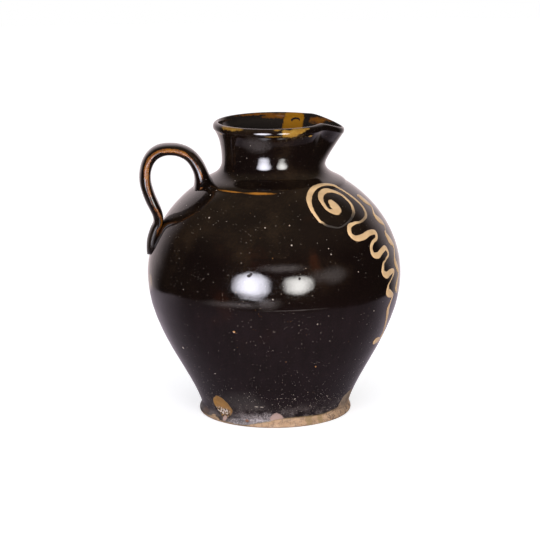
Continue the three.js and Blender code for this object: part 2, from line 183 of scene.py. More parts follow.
WAVE_TRAIL = [
    (22, 9.1, 56, 90), (20.2, 11.2, 125, 100), (19.4, 14.2, 145, 100), (17.6, 17.4, 80, 100),
    (17.6, 19.4, 34, 90), (20.8, 21.4, 34, 90), (22.9, 24, 85, 100), (21.9, 26.6, 130, 100),
    (19.6, 29, 100, 100), (18.6, 31.6, 26, 70), (20.8, 33.8, 22, 50), (22.6, 36.4, 85, 100),
    (21.6, 39.4, 130, 100), (19.2, 42.4, 100, 95), (19.2, 45.6, 36, 85), (21.8, 48.6, 34, 90),
    (22.6, 52.2, 90, 100), (20.6, 55.4, 95, 95), (18.8, 59.2, 50, 85), (21.6, 62.8, 55, 95),
    (22.8, 66, 90, 95), (20.4, 69.4, 44, 90),
]

# Amber where the glaze ran thin along the handle's edges: share of its length, the middle of
# the amber in degrees from the edge towards the back, its half width, and percent of it shown
HANDLE_AMBER = [
    (0, -30, 22, 90), (0.02, -18, 12, 90), (0.035, -6, 5, 84), (0.07, -8, 5, 80),
    (0.11, 0, 6, 80), (0.14, 3, 7, 70), (0.175, 2, 5, 50), (0.22, -2, 8, 72),
    (0.265, 2, 13, 96), (0.345, 5, 13, 100), (0.39, 14, 11, 90), (0.455, 13, 17, 96),
    (0.53, -4, 18, 100), (0.575, -16, 15, 84), (0.63, -8, 12, 72), (0.67, -3, 11, 56),
    (0.72, -4, 10, 50), (0.765, -14, 12, 66), (0.81, -36, 16, 100), (0.85, -24, 15, 90),
    (0.885, -36, 12, 50), (0.915, -30, 10, 0), (1, -30, 10, 0),
]

# Chips at the foot, with their turn round the pot and their tilt in degrees
Chip = namedtuple("Chip", "turn height half_width half_height depth tilt")
OCHRE_CHIP = Chip(-137.6, 0.0150, 0.0088, 0.0102, 0.0011, 38)
PINK_CHIP = Chip(-94, 0.0078, 0.0058, 0.0062, 0.0006, 0)
CHIPS = (OCHRE_CHIP, PINK_CHIP)

# How they are knocked out. The reaches are shares of the chip's own size.
CHIP_MESH_REACH = 1.5
CHIP_MESH_CUTS = 3
CHIP_CUT_REACH = 1.2
CHIP_RAGGED = 0.14
CHIP_RAG_GRAIN = 420
CHIP_STEEPNESS = 1.2
CHIP_SHELLS = 0.25
CHIP_SHELL_GRAIN = 260

# Half the run of the wall over which its outside turns into its inside, at the crest
CREST_BLEND = 0.004

# Camera, from the photograph's fitted view
VIEW_TURN = 5
VIEW_PITCH = 12.235
VIEW_ROLL = 0.5
VIEW_DISTANCE = 1.6684
VIEW_HEIGHT = 0.4877
VIEW_SIDESTEP = 0.0036
LENS = 128.08
SENSOR = 36

view_ahead = Vector((math.sin(math.radians(VIEW_TURN)), math.cos(math.radians(VIEW_TURN)), 0))
view_right = Vector((view_ahead.y, -view_ahead.x, 0))


def mix(low, high, share):
    return low + (high - low) * share


def clamp(value, low=0.0, high=1.0):
    return max(low, min(high, value))


def smooth(value, low, high):
    share = clamp((value - low) / (high - low))
    return share * share * (3 - 2 * share)


def bump(offset, half_width):
    if abs(offset) >= half_width:
        return 0
    return (1 + math.cos(math.pi * offset / half_width)) / 2


# The outline of the wall

def place(radius, height):
    return Vector((radius, height))


def lean(start, slope, length):
    angle = math.radians(slope)
    return start + length * place(math.sin(angle), math.cos(angle))


def stretch(low, low_slope, high, high_slope, hold, step=WALL_STEP):
    """Points between two places of the outline, one above the other, each with its slope.
    A slope of 90 degrees is level, and holds along the width instead of the rise."""
    low_size, high_size = (
        high.x - low.x if slope == 90 else high.y - low.y for slope in (low_slope, high_slope)
    )
    low_handle = lean(low, low_slope, hold[0] * low_size)
    high_handle = lean(high, high_slope, -hold[1] * high_size)
    count = max(5, math.ceil((high - low).length / step) + 1)
    return geometry.interpolate_bezier(low, low_handle, high_handle, high, count)


def joined(*stretches):
    points = list(stretches[0])
    for part in stretches[1:]:
        points += part[1:]
    return points


sole = place(FOOT_RADIUS - FOOT_ROUND, 0)
ring = place(FOOT_RADIUS, FOOT_RING_RISE)
groove = place(FOOT_RADIUS - GROOVE_DEPTH, FOOT_RING_RISE + GROOVE_RISE)
belly = place(BELLY_RADIUS, groove.y + BELLY_RISE)
ridge = place(RIDGE_RADIUS, belly.y + SHOULDER_RISE)
neck = place(NECK_RADIUS, ridge.y + NECK_RISE)
under_rim = place(NECK_RADIUS + FLARE, neck.y + FLARE_RISE)
rim = place(under_rim.x + RIM_OVERHANG, under_rim.y + RIM_RISE)
crest = place(rim.x - CREST_INSET, rim.y + CREST_RISE)


def neighbours(line, index):
    return line[max(index - 1, 0)], line[min(index + 1, len(line) - 1)]


def runs_along(line):
    """How far each point of a line lies along it"""
    runs = [0]
    for before, after in zip(line, line[1:]):
        runs.append(runs[-1] + (after - before).length)
    return runs


foot_line = joined(
    stretch(sole, 90, ring, 0, SMALL_ROUND_HOLD, ROUND_STEP),
    stretch(ring, 0, groove, 0, SMALL_ROUND_HOLD, ROUND_STEP),
)
wall_line = joined(
    stretch(groove, SLOPE_ABOVE_GROOVE, belly, 0, LOWER_BELLY_HOLD),
    stretch(belly, 0, ridge, -SLOPE_BELOW_RIDGE, SHOULDER_HOLD),
    stretch(ridge, -SLOPE_ABOVE_RIDGE, neck, 0, NECK_BASE_HOLD, WALL_STEP / 2),
    stretch(neck, 0, under_rim, SLOPE_UNDER_RIM, NECK_FLARE_HOLD),
)
rim_line = joined(
    stretch(under_rim, SLOPE_INTO_RIM, rim, 0, SMALL_ROUND_HOLD, ROUND_STEP),
    stretch(rim, 0, crest, 90, SMALL_ROUND_HOLD, ROUND_STEP),
)
ridge_index = min(range(len(wall_line)), key=lambda i: (wall_line[i] - ridge).length)


def on_wall(down):
    """The wall's place, outward and downward directions at a way down from the ridge"""
    towards = -1 if down > 0 else 1
    index = ridge_index
    left = abs(down)
    reach = (wall_line[index + towards] - wall_line[index]).length
    while left > reach:
        left -= reach
        index += towards
        reach = (wall_line[index + towards] - wall_line[index]).length
    along = (wall_line[index + towards] - wall_line[index]).normalized()
    downward = along * -towards
    outward = place(-downward.y, downward.x)
    return wall_line[index] + along * left, outward, downward


def inside_line():
    """The inside of the wall, from the crest down to the middle of the floor"""
    wall = []
    for index, at in enumerate(wall_line):
        before, after = neighbours(wall_line, index)
        slope = (after - before).normalized()
        if at.y < belly.y:
            thickness = mix(FOOT_WALL, BELLY_WALL, smooth(at.y, groove.y, belly.y))
        else:
            thickness = mix(BELLY_WALL, NECK_WALL, smooth(at.y, belly.y, neck.y))
        inner = at + thickness * place(-slope.y, slope.x)
        if inner.y > FLOOR_THICKNESS + FLOOR_ROUND_RISE:
            wall.append(inner)
    floor_edge = place(wall[0].x - FLOOR_ROUND_WIDTH, FLOOR_THICKNESS)
    line = joined(
        stretch(floor_edge, 90, wall[0], SLOPE_ABOVE_FLOOR, FLOOR_HOLD),
        wall,
        stretch(wall[-1], SLOPE_INSIDE_RIM, crest, 90, RIM_INSIDE_HOLD, ROUND_STEP),
    )
    return line[::-1]


def across(start, end, count):
    return [start.lerp(end, (index + 1) / count) for index in range(count)]


# Modelling

def deselect():
    bpy.ops.object.select_all(action="DESELECT")


def select(piece):
    deselect()
    piece.select_set(True)
    bpy.context.view_layer.objects.active = piece


def named(name):
    piece = bpy.context.object
    piece.name = name
    piece.data.name = name
    return piece


def spun(name, outline, segments):
    """A turned piece: its outline is drawn point by point, then spun about the Z axis"""
    deselect()
    bpy.ops.mesh.primitive_plane_add(size=ROUND_STEP, location=(outline[0].x, 0, outline[0].y))
    piece = named(name)
    bpy.ops.object.transform_apply(location=True)
    bpy.ops.object.mode_set(mode="EDIT")
    bpy.ops.mesh.merge(type="CENTER")
    for before, after in zip(outline, outline[1:]):
        move = {"value": (after.x - before.x, 0, after.y - before.y)}
        bpy.ops.mesh.extrude_vertices_move(TRANSFORM_OT_translate=move)
    bpy.ops.mesh.select_all(action="SELECT")
    bpy.ops.mesh.spin(
        steps=segments, angle=2 * math.pi, use_auto_merge=True, center=(0, 0, 0), axis=(0, 0, 1)
    )
    bpy.ops.mesh.select_all(action="SELECT")
    bpy.ops.mesh.remove_doubles(threshold=TINY)
    bpy.ops.mesh.normals_make_consistent(inside=False)
    bpy.ops.object.mode_set(mode="OBJECT")
    return piece


def drawn_out(name, rings, attributes):
    """A long closed piece: a filled circle, extruded ring by ring through the given places.
    attributes holds, for each name, one value per corner of each ring."""
    deselect()
    count = len(rings[0])
    bpy.ops.mesh.primitive_circle_add(vertices=count, radius=ROUND_STEP, fill_type="NGON")
    piece = named(name)
    bpy.ops.object.mode_set(mode="EDIT")
    mesh = bmesh.from_edit_mesh(piece.data)
    corner = mesh.verts.layers.int.new("corner")
    layers = {key: mesh.verts.layers.float.new(key) for key in attributes}
    mesh.verts.ensure_lookup_table()
    for index, vertex in enumerate(mesh.verts):
        vertex[corner] = index
    for station, places in enumerate(rings):
        if station > 0:
            bpy.ops.mesh.extrude_region_move()
            mesh = bmesh.from_edit_mesh(piece.data)
            corner = mesh.verts.layers.int["corner"]
            layers = {key: mesh.verts.layers.float[key] for key in attributes}
        for vertex in mesh.verts:
            if vertex.select:
                vertex.co = places[vertex[corner]]
                for key, layer in layers.items():
                    vertex[layer] = attributes[key][station][vertex[corner]]
        bmesh.update_edit_mesh(piece.data)
    bpy.ops.mesh.select_all(action="SELECT")
    bpy.ops.mesh.normals_make_consistent(inside=False)
    bpy.ops.object.mode_set(mode="OBJECT")
    return piece


def uneven(at):
    """How far the hand-thrown wall lies inside its true circle at a place"""
    swell = noise.noise(at * SWELL_GRAIN) + 0.5 * noise.noise(at * SMALL_SWELL_GRAIN)
    rings = noise.noise(at * Vector(RING_GRAIN))
    return UNEVEN * clamp(0.5 + 0.4 * swell) + THROWING_RING * (1 + rings)


def settled(at):
    """The place drawn in towards the axis by the unevenness of the throwing"""
    radius = math.hypot(at.x, at.y)
    if radius < ROUND_STEP:
        return at
    scale = 1 - uneven(at) * smooth(radius, 0, 0.03) / radius
    return Vector((at.x * scale, at.y * scale, at.z))


def pull_built_up(height):
    """How far the spout's pull has built up at a height of the neck, 1 at the rim's crest"""
    start = neck.y - SPOUT_START
    share = clamp((height - start) / (crest.y - start))
    eased = share ** 2 * (1 + SPOUT_EASE) / (share + SPOUT_EASE)
    return 1 - (1 - eased) ** SPOUT_FULLNESS


def pulled(at):
    """The place once the neck is pulled out into the spout and the rim has sunk a little"""
    share = clamp((at.z - neck.y) / (crest.y - neck.y))
    radius = math.hypot(at.x, at.y)
    if at.z < neck.y - SPOUT_START or radius == 0:
        return at
    turn = math.degrees(math.atan2(at.y, at.x))
    pull = bump(turn, SPOUT_HALF_ANGLE) * pull_built_up(at.z)
    pinch = bump(abs(turn) - SPOUT_PINCH_ANGLE, SPOUT_PINCH_WIDTH) * share
    middle = mix(NECK_RADIUS - NECK_WALL / 2, crest.x, share)
    spread = (radius - middle) * (1 - SPOUT_THINNING * pull)
    scale = (middle + spread + SPOUT_PULL * pull - SPOUT_PINCH * pinch) / radius
    height = at.z - SPOUT_DROOP * pull * share ** 0.5 + SPOUT_PINCH_RISE * pinch
    sunk = RIM_SINK * (1 - math.cos(math.radians(turn - RIM_HIGH_SIDE))) / 2
    return Vector((at.x * scale, at.y * scale, height - sunk * share))


def polar(turn, radius, height):
    return Vector((radius * math.cos(turn), radius * math.sin(turn), height))


def chip_middle(chip):
    """A chip's middle on the wall"""
    at = min(foot_line + wall_line, key=lambda point: abs(point.y - chip.height))
    return polar(math.radians(chip.turn), at.x, chip.height)


def chip_ruler(chip):
    """A function that tells how far a place is from a chip's middle, 1 at the chip's edge"""
    middle = chip_middle(chip)
    upright = Matrix.Rotation(math.radians(-chip.tilt), 3, "X")
    facing = upright @ Matrix.Rotation(math.radians(-chip.turn), 3, "Z")

    def distance(at):
        offset = at - middle
        if offset.length > 2 * chip.half_height:
            return 2
        offset = facing @ offset
        return math.hypot(offset.y / chip.half_width, offset.z / chip.half_height)

    return distance


def cut_chips(piece):
    """Knocks the chips out of the foot, on a finer patch of the wall"""
    select(piece)
    bpy.ops.object.mode_set(mode="EDIT")
    bpy.ops.mesh.select_mode(type="FACE")
    for chip in CHIPS:
        distance = chip_ruler(chip)
        bpy.ops.mesh.select_all(action="DESELECT")
        mesh = bmesh.from_edit_mesh(piece.data)
        for face in mesh.faces:
            face.select = distance(face.calc_center_median()) < CHIP_MESH_REACH
        bmesh.update_edit_mesh(piece.data)
        bpy.ops.mesh.subdivide(number_cuts=CHIP_MESH_CUTS)
    bpy.ops.object.mode_set(mode="OBJECT")
    for chip in CHIPS:
        distance = chip_ruler(chip)
        for vertex in piece.data.vertices:
            away = distance(vertex.co)
            if away > CHIP_CUT_REACH:
                continue
            ragged = CHIP_RAGGED * noise.noise(vertex.co * CHIP_RAG_GRAIN)
            near = 1 - (away + ragged) ** 2
            if near > 0:
                inward = Vector((vertex.co.x, vertex.co.y, 0)).normalized() * -chip.depth
                shells = 1 + CHIP_SHELLS * noise.noise(vertex.co * CHIP_SHELL_GRAIN)
                vertex.co += inward * min(1, near ** 0.5 * CHIP_STEEPNESS) * shells


def outline_key(radius, height):
    return round(radius, 5), round(height, 5)


def make_body():
    """The vessel. Its attribute "inner" tells how far a place lies on the inside of the wall."""
    outside = joined(foot_line, wall_line, rim_line)
    inside = inside_line()
    base = [place(0, 0)] + across(place(0, 0), sole, BASE_RINGS)
    floor = across(inside[-1], place(0, FLOOR_THICKNESS), FLOOR_RINGS)
    outline = joined(base, outside, inside) + floor
    piece = spun("body", outline, BODY_SEGMENTS)
    run_at = {outline_key(*at): run for at, run in zip(outline, runs_along(outline))}
    crest_run = run_at[outline_key(*crest)]
    inner = piece.data.attributes.new("inner", "FLOAT", "POINT")
    for vertex, slot in zip(piece.data.vertices, inner.data):
        at = vertex.co
        key = outline_key(math.hypot(at.x, at.y), at.z)
        if key not in run_at:
            nearest = min(run_at, key=lambda spot: math.dist(spot, key))
            run_at[key] = run_at[nearest]
        slot.value = smooth(run_at[key], crest_run - CREST_BLEND, crest_run + CREST_BLEND)
        vertex.co = pulled(settled(at))
    cut_chips(piece)
    return piece


def handle_line():
    """Centre line of the handle as radius and height, from inside the shoulder to its tip"""
    root = place(RIDGE_RADIUS - HANDLE_ROOT_INSET, ridge.y - HANDLE_ROOT_SINK)
    reach = place(BELLY_RADIUS + HANDLE_OVERHANG, ridge.y + HANDLE_REACH_RISE)
    top = place(reach.x - HANDLE_TOP_INSET, ridge.y + HANDLE_TOP_RISE)
    seat, outward, downward = on_wall(HANDLE_TAIL_START)
    tail = seat + outward * HANDLE_TAIL_LIFT
    wall_slope = math.degrees(math.atan2(-downward.x, -downward.y))
    loop = joined(
        stretch(root, HANDLE_ROOT_SLOPE, top, 90, HANDLE_CLIMB_HOLD, HANDLE_STEP),
        stretch(reach, 0, top, 90, HANDLE_BEND_HOLD, HANDLE_STEP)[::-1],
        stretch(tail, wall_slope, reach, 0, HANDLE_FALL_HOLD, HANDLE_STEP)[::-1],
    )
    count = math.ceil((HANDLE_TAIL_END - HANDLE_TAIL_START) / HANDLE_STEP)
    for station in range(1, count + 1):
        share = station / count
        at, outward, _ = on_wall(mix(HANDLE_TAIL_START, HANDLE_TAIL_END, share))
        lift = mix(HANDLE_TAIL_LIFT, -HANDLE_TIP_SINK, share ** 2)
        loop.append(at + outward * lift)
    return loop


def tapered(sizes, share):
    root, top, tail = sizes
    if share < HANDLE_TOP_SHARE:
        return mix(root, top, smooth(share, 0, HANDLE_TOP_SHARE))
    return mix(top, tail, smooth(share, HANDLE_FALL_SHARE, HANDLE_TAIL_SHARE))


def strap_section(width, thickness):
    """Corners of the strap's section, as side and rise. Its flat inside face meets the
    sides in two edges, and its back is rounded."""
    corners = []
    for index in range(HANDLE_CORNERS):
        angle = 2 * math.pi * index / HANDLE_CORNERS
        cosine, sine = math.cos(angle), math.sin(angle)
        fullness = STRAP_INSIDE_FULLNESS if sine < 0 else STRAP_BACK_FULLNESS
        side = math.copysign(abs(cosine) ** fullness, cosine) * width / 2
        rise = math.copysign(abs(sine) ** fullness, sine) * thickness / 2
        corners.append((side, rise))
    return corners


def amber_share(index, share):
    """How thin the glaze has run at a corner of the strap's section, 1 along its edges"""
    for low, high in zip(HANDLE_AMBER, HANDLE_AMBER[1:]):
        if share <= high[0]:
            break
    within = clamp((share - low[0]) / (high[0] - low[0]))
    _, middle, half_width, shown = (mix(a, b, within) for a, b in zip(low, high))
    near = (360 * index / HANDLE_CORNERS + 180) % 360 - 180
    far = (360 - near) % 360 - 180
    thin = max(bump(near - middle, 2 * half_width), bump(far - middle, 2 * half_width))
    return thin * shown / 100


def make_handle():
    line = handle_line()
    runs = runs_along(line)
    rings, ambers, alongs = [], [], []
    for index, (at, run) in enumerate(zip(line, runs)):
        before, after = neighbours(line, index)
        forward = (after - before).normalized()
        outward = place(-forward.y, forward.x)
        share = run / runs[-1]
        from_tip = clamp((runs[-1] - run) / HANDLE_TIP_ROUND)
        tip = mix(HANDLE_TIP_SHARE, 1, math.sqrt(1 - (1 - from_tip) ** 2))
        luting = 2 * LUTING_SWELL * (1 - min(run / LUTING_REACH, 1)) ** 2
        width = tapered(HANDLE_WIDTHS, share) * tip + luting
        thickness = tapered(HANDLE_THICKNESSES, share) + luting
        places = []
        for side, rise in strap_section(width, thickness):
            spot = at + outward * rise
            corner = Vector((-spot.x, -side, spot.y))
            wave = sum(noise.noise(corner * grain) * tall for grain, tall in STRAP_WAVES)
            places.append(corner + Vector((-outward.x, 0, outward.y)) * wave)
        rings.append(places)
        ambers.append([amber_share(corner, share) for corner in range(HANDLE_CORNERS)])
        alongs.append([share] * HANDLE_CORNERS)
    return drawn_out("handle", rings, {"amber": ambers, "along": alongs})


def freehand(places, step):
    """A smooth line through places, by centripetal curves, with a point every step"""
    padded = [2 * places[0] - places[1], *places, 2 * places[-1] - places[-2]]
    line = []
    for a, b, c, d in zip(padded, padded[1:], padded[2:], padded[3:]):
        first, middle, last = (
            max((q - p).length, TINY) ** 0.5 for p, q in ((a, b), (b, c), (c, d))
        )
        into = ((b - a) / first - (c - a) / (first + middle) + (c - b) / middle) * middle
        out = ((c - b) / middle - (d - b) / (middle + last) + (d - c) / last) * middle
        count = max(2, math.ceil((c - b).length / step))
        for index in range(count):
            t = index / count
            line.append(
                b * (2 * t ** 3 - 3 * t ** 2 + 1) + into * (t ** 3 - 2 * t ** 2 + t)
                + c * (3 * t ** 2 - 2 * t ** 3) + out * (t ** 3 - t ** 2)
            )
    return line + [places[-1]]


# Across a trail: share of the half width, and of the relief, at each corner
TRAIL_SECTION = (
    (-1, -0.6), (-1, 0), (-0.94, 0.38), (-0.8, 0.68), (-0.5, 0.92), (0, 1),
    (0.5, 0.92), (0.8, 0.68), (0.94, 0.38), (1, 0), (1, -0.6), (0, -0.8),
)

# Of a trail: how blunt its ends are, how much of the room in a bend it fills, its relief where
# it is worn off, the least and most relief of a narrow and a wide place, and its wavering
TRAIL_BLUNT = 0.02
TRAIL_BEND_FILL = 0.85
TRAIL_WORN_RELIEF = 0.15
TRAIL_RELIEF_RANGE = (0.35, 0.8)
TRAIL_WAVER = 0.08
TRAIL_WAVER_GRAIN = 260


def make_trail(name, table):
    """One trail of slip on the near side, lying on the wall from end to end"""
    places = [
        Vector((math.radians(turn) * BELLY_RADIUS, SLIP_DROP * drop / 100,
                SLIP_WIDTH * width / 100, 0.001 * cover))
        for turn, drop, width, cover in table
    ]
    line = freehand(places, SLIP_STEP)
    flat = [place(at.x / BELLY_RADIUS * on_wall(at.y)[0].x, at.y) for at in line]
    runs = runs_along(flat)
    rings, covers, edges = [], [], []
    for index, (at, run) in enumerate(zip(line, runs)):
        before, after = neighbours(flat, index)
        forward = (after - before).normalized()
        half = at.z / 2
        end = clamp(min(run, runs[-1] - run) / half)
        half *= math.sqrt(max(1 - (1 - end) ** 2, TRAIL_BLUNT))
        into, out = flat[index] - before, after - flat[index]
        bend = 0
        if into.length > 0 and out.length > 0:
            bend = math.atan2(into.x * out.y - into.y * out.x, into.dot(out))
        room = TRAIL_BEND_FILL * (into.length + out.length) / 2 / max(abs(bend), TINY)
        right, left = (half, min(half, room)) if bend > 0 else (min(half, room), half)
        cover = at.w / 0.1
        relief = SLIP_RELIEF * mix(TRAIL_WORN_RELIEF, 1, cover)
        relief *= clamp(at.z / SLIP_WIDTH, *TRAIL_RELIEF_RANGE)
        radius = on_wall(at.y)[0].x
        ring_places = []
        for share, rise in TRAIL_SECTION:
            offset = share * (right if share < 0 else left)
            waver = noise.noise(Vector((*(flat[index] * TRAIL_WAVER_GRAIN), share)))
            offset *= 1 + TRAIL_WAVER * waver
            turn = at.x / BELLY_RADIUS - offset * forward.y / radius
            spot, outward, _ = on_wall(at.y + offset * forward.x)
            spot = spot + outward * (rise * (relief if rise > 0 else SLIP_RELIEF))
            ring_places.append(settled(polar(-turn, spot.x, spot.y)))
        rings.append(ring_places)
        covers.append([cover] * len(TRAIL_SECTION))
        edges.append([abs(share) ** 2 for share, _ in TRAIL_SECTION])
    return drawn_out(name, rings, {"cover": covers, "edge": edges})


def mirrored(piece, name):
    """The same trail on the far side of the spout, as a mesh of its own"""
    select(piece)
    bpy.ops.object.duplicate(linked=False)
    twin = named(name)
    bpy.ops.object.mode_set(mode="EDIT")
    bpy.ops.mesh.select_all(action="SELECT")
    bpy.ops.transform.mirror(
        constraint_axis=(False, True, False), orient_type="GLOBAL", center_override=(0, 0, 0)
    )
    bpy.ops.mesh.normals_make_consistent(inside=False)
    bpy.ops.object.mode_set(mode="OBJECT")
    return twin


# Materials

class Nodes:
    """Short calls that add nodes to one tree and join them"""

    def __init__(self, tree):
        self.tree = tree

    def add(self, kind, inputs=None, **settings):
        node = self.tree.nodes.new("ShaderNode" + kind)
        for key, value in settings.items():
            setattr(node, key, value)
        for key, value in (inputs or {}).items():
            self.feed(node.inputs[key], value)
        return node

    def feed(self, socket, value):
        if isinstance(value, bpy.types.NodeSocket):
            self.tree.links.new(value, socket)
        else:
            socket.default_value = value

    def math(self, operation, first, second=0.0, clamped=False):
        inputs = {0: first, 1: second}
        return self.add("Math", inputs, operation=operation, use_clamp=clamped).outputs[0]

    def times(self, first, second):
        return self.math("MULTIPLY", first, second)

    def plus(self, first, second, clamped=False):
        return self.math("ADD", first, second, clamped)

    def minus(self, first, second, clamped=False):
        return self.math("SUBTRACT", first, second, clamped)

    def larger(self, first, second):
        return self.math("MAXIMUM", first, second)

    def scaled(self, value, factor, offset):
        inputs = {0: value, 1: factor, 2: offset}
        return self.add("Math", inputs, operation="MULTIPLY_ADD").outputs[0]

    def blend(self, share, first, second):
        inputs = {0: share, 6: first, 7: second}
        return self.add("Mix", inputs, data_type="RGBA").outputs[2]

    def level(self, share, first, second):
        return self.add("Mix", {0: share, 2: first, 3: second}).outputs[0]

    def step(self, value, low, high):
        inputs = {"Value": value, "From Min": low, "From Max": high}
        return self.add("MapRange", inputs, interpolation_type="SMOOTHSTEP").outputs[0]

    def place(self):
        return self.add("TexCoord").outputs["Object"]

    def height(self):
        return self.add("SeparateXYZ", {0: self.place()}).outputs[2]

    def attribute(self, name):
        return self.add("Attribute", attribute_name=name).outputs["Fac"]

    def scaled_place(self, x, y, z):
        inputs = {0: self.place(), 1: (x, y, z)}
        return self.add("VectorMath", inputs, operation="MULTIPLY").outputs[0]

    def noise(self, scale, detail=2.0, roughness=0.5, vector=None, seed=0.0):
        inputs = {"Scale": scale, "Detail": detail, "Roughness": roughness, "W": seed}
        node = self.add("TexNoise", noise_dimensions="4D", inputs=inputs)
        self.feed(node.inputs["Vector"], vector or self.place())
        return node.outputs["Fac"]

    def wander(self, scale, **more):
        """Noise that lies as often below nought as above it"""
        return self.minus(self.noise(scale, **more), 0.5)

    def clouds(self, low, high, scale, **more):
        """Noise that goes from 0 to 1 between two of its levels"""
        return self.step(self.noise(scale, **more), low, high)

    def group(self, name, **inputs):
        node = self.add("Group", node_tree=bpy.data.node_groups[name])
        for key, value in inputs.items():
            self.feed(node.inputs[key], value)
        return node.outputs[0]


def new_group(name, inputs, output):
    """A shader node group with named inputs, each with its kind and usual value"""
    tree = bpy.data.node_groups.new(name, "ShaderNodeTree")
    for key, (kind, value) in inputs.items():
        socket = tree.interface.new_socket(key, in_out="INPUT", socket_type="NodeSocket" + kind)
        socket.default_value = value
    tree.interface.new_socket(output, in_out="OUTPUT", socket_type="NodeSocketFloat")
    nodes = Nodes(tree)
    given = tree.nodes.new("NodeGroupInput").outputs
    result = tree.nodes.new("NodeGroupOutput").inputs
    return nodes, given, result


def patch_group():
    """A ragged oval patch on the surface"""
    inputs = {
        "Place": ("Vector", (0, 0, 0)), "Turn": ("Vector", (0, 0, 0)),
        "Reach": ("Vector", (0.01, 0.01, 0.01)), "Ragged": ("Float", 0.3),
        "Grain": ("Float", 200), "Soft": ("Float", 0.1), "Corners": ("Float", 2),
    }
    nodes, given, result = new_group("patch", inputs, "Mask")
    mapping = nodes.add("Mapping", vector_type="TEXTURE", inputs={
        "Vector": nodes.place(), "Location": given["Place"],
        "Rotation": given["Turn"], "Scale": given["Reach"],
    })
    split = nodes.add("SeparateXYZ", {0: mapping.outputs[0]}).outputs
    distance = 0.0
    for along in split:
        along = nodes.math("POWER", nodes.math("ABSOLUTE", along), given["Corners"])
        distance = nodes.plus(along, distance)
    distance = nodes.math("POWER", distance, nodes.math("DIVIDE", 1.0, given["Corners"]))
    wander = nodes.wander(given["Grain"], detail=4, roughness=0.6)
    wander = nodes.times(wander, given["Ragged"])
    distance = nodes.plus(distance, nodes.times(wander, 2.0))
    low = nodes.minus(1.0, given["Soft"])
    high = nodes.plus(1.0, given["Soft"])
    nodes.feed(result[0], nodes.step(distance, high, low))


def specks_group():
    """Small specks or pits of uneven size and shape, scattered through the glaze"""
    inputs = {
        "Scale": ("Float", 110), "Size": ("Float", 0.1), "Share": ("Float", 0.5),
        "Stretch": ("Vector", (1, 1, 1)),
    }
    nodes, given, result = new_group("specks", inputs, "Mask")
    spread = nodes.add("VectorMath", {0: nodes.place(), 1: given["Stretch"]}, operation="MULTIPLY")
    cells = nodes.add("TexVoronoi", inputs={
        "Vector": spread.outputs[0], "Scale": given["Scale"], "Randomness": 1.0,
    })
    split = nodes.add("SeparateColor", {0: cells.outputs["Color"]})
    grown = nodes.math("POWER", split.outputs[1], 3.0)
    grown = nodes.scaled(grown, 0.75, 0.25)
    size = nodes.times(given["Size"], grown)
    inner = nodes.times(size, 0.55)
    ragged = nodes.times(nodes.wander(1500, detail=2, seed=11.0), size)
    distance = nodes.plus(cells.outputs["Distance"], ragged)
    spot = nodes.step(distance, size, inner)
    kept = nodes.math("LESS_THAN", split.outputs[0], given["Share"])
    nodes.feed(result[0], nodes.times(spot, kept))


def ripple_group():
    """Relief of a run glaze in millimetres: slow waves, orange peel and fine scratches"""
    inputs = {"Waves": ("Float", 0.1), "Peel": ("Float", 0.02), "Grit": ("Float", 0.004)}
    nodes, given, result = new_group("ripple", inputs, "Height")
    waves = nodes.times(nodes.noise(38, detail=1, seed=3.0), given["Waves"])
    peel = nodes.times(nodes.noise(170, detail=2, seed=7.0), given["Peel"])
    grit = nodes.times(nodes.noise(620, detail=3, roughness=0.7), given["Grit"])
    nodes.feed(result[0], nodes.plus(nodes.plus(waves, peel), grit))


def build_groups():
    patch_group()
    specks_group()
    ripple_group()


# Colours in linear values: the surface's own colour, except the grey sheen and the low purple tone,
# which are partly painted reflection
GLAZE_DARK = (0.0038, 0.0019, 0.0016, 1)
GLAZE_BROWN = (0.0165, 0.0096, 0.0054, 1)
GLAZE_OLIVE = (0.034, 0.024, 0.0095, 1)
GLAZE_RED = (0.028, 0.0082, 0.0034, 1)
# Purple sheen of the mirrored table, painted low on the glaze
GLAZE_LOW_TABLE_SHEEN = (0.0078, 0.0042, 0.0046, 1)
# Grey of a sheen painted on scuffed glaze; half of it is also mixed into the inside of the neck
HAZE_SHEEN_GREY = (0.036, 0.030, 0.028, 1)
AMBER = (0.27, 0.105, 0.014, 1)
LIP_AMBER = (0.290, 0.168, 0.030, 1)
LIP_DEEP = (0.225, 0.108, 0.016, 1)
OCHRE = (0.46, 0.195, 0.009, 1)
INNER_RUST = (0.26, 0.080, 0.008, 1)
HANDLE_GOLD = (0.215, 0.078, 0.004, 1)
RUST = (0.115, 0.036, 0.008, 1)
CLAY = (0.34, 0.215, 0.125, 1)
CLAY_PALE = (0.43, 0.29, 0.185, 1)
CLAY_GREY = (0.20, 0.155, 0.115, 1)
CLAY_GRIME = (0.085, 0.052, 0.036, 1)
CLAY_STRIPE = (0.20, 0.13, 0.055, 1)
PINK = (0.30, 0.205, 0.175, 1)
SCUM = (0.13, 0.105, 0.100, 1)
CRUST = (0.27, 0.235, 0.235, 1)
SPECK = (0.54, 0.46, 0.39, 1)
SPECK_ORANGE = (0.42, 0.20, 0.06, 1)
CHIP_OCHRE = (0.30, 0.150, 0.030, 1)
CHIP_DEEP = (0.22, 0.105, 0.025, 1)
CHIP_WHITE = (0.55, 0.52, 0.50, 1)
CHIP_BLACK = (0.012, 0.009, 0.009, 1)
SLIP = (0.62, 0.42, 0.225, 1)
SLIP_TAN = (0.50, 0.325, 0.170, 1)
SLIP_THIN = (0.036, 0.031, 0.028, 1)
SLIP_EDGE = (0.36, 0.215, 0.095, 1)

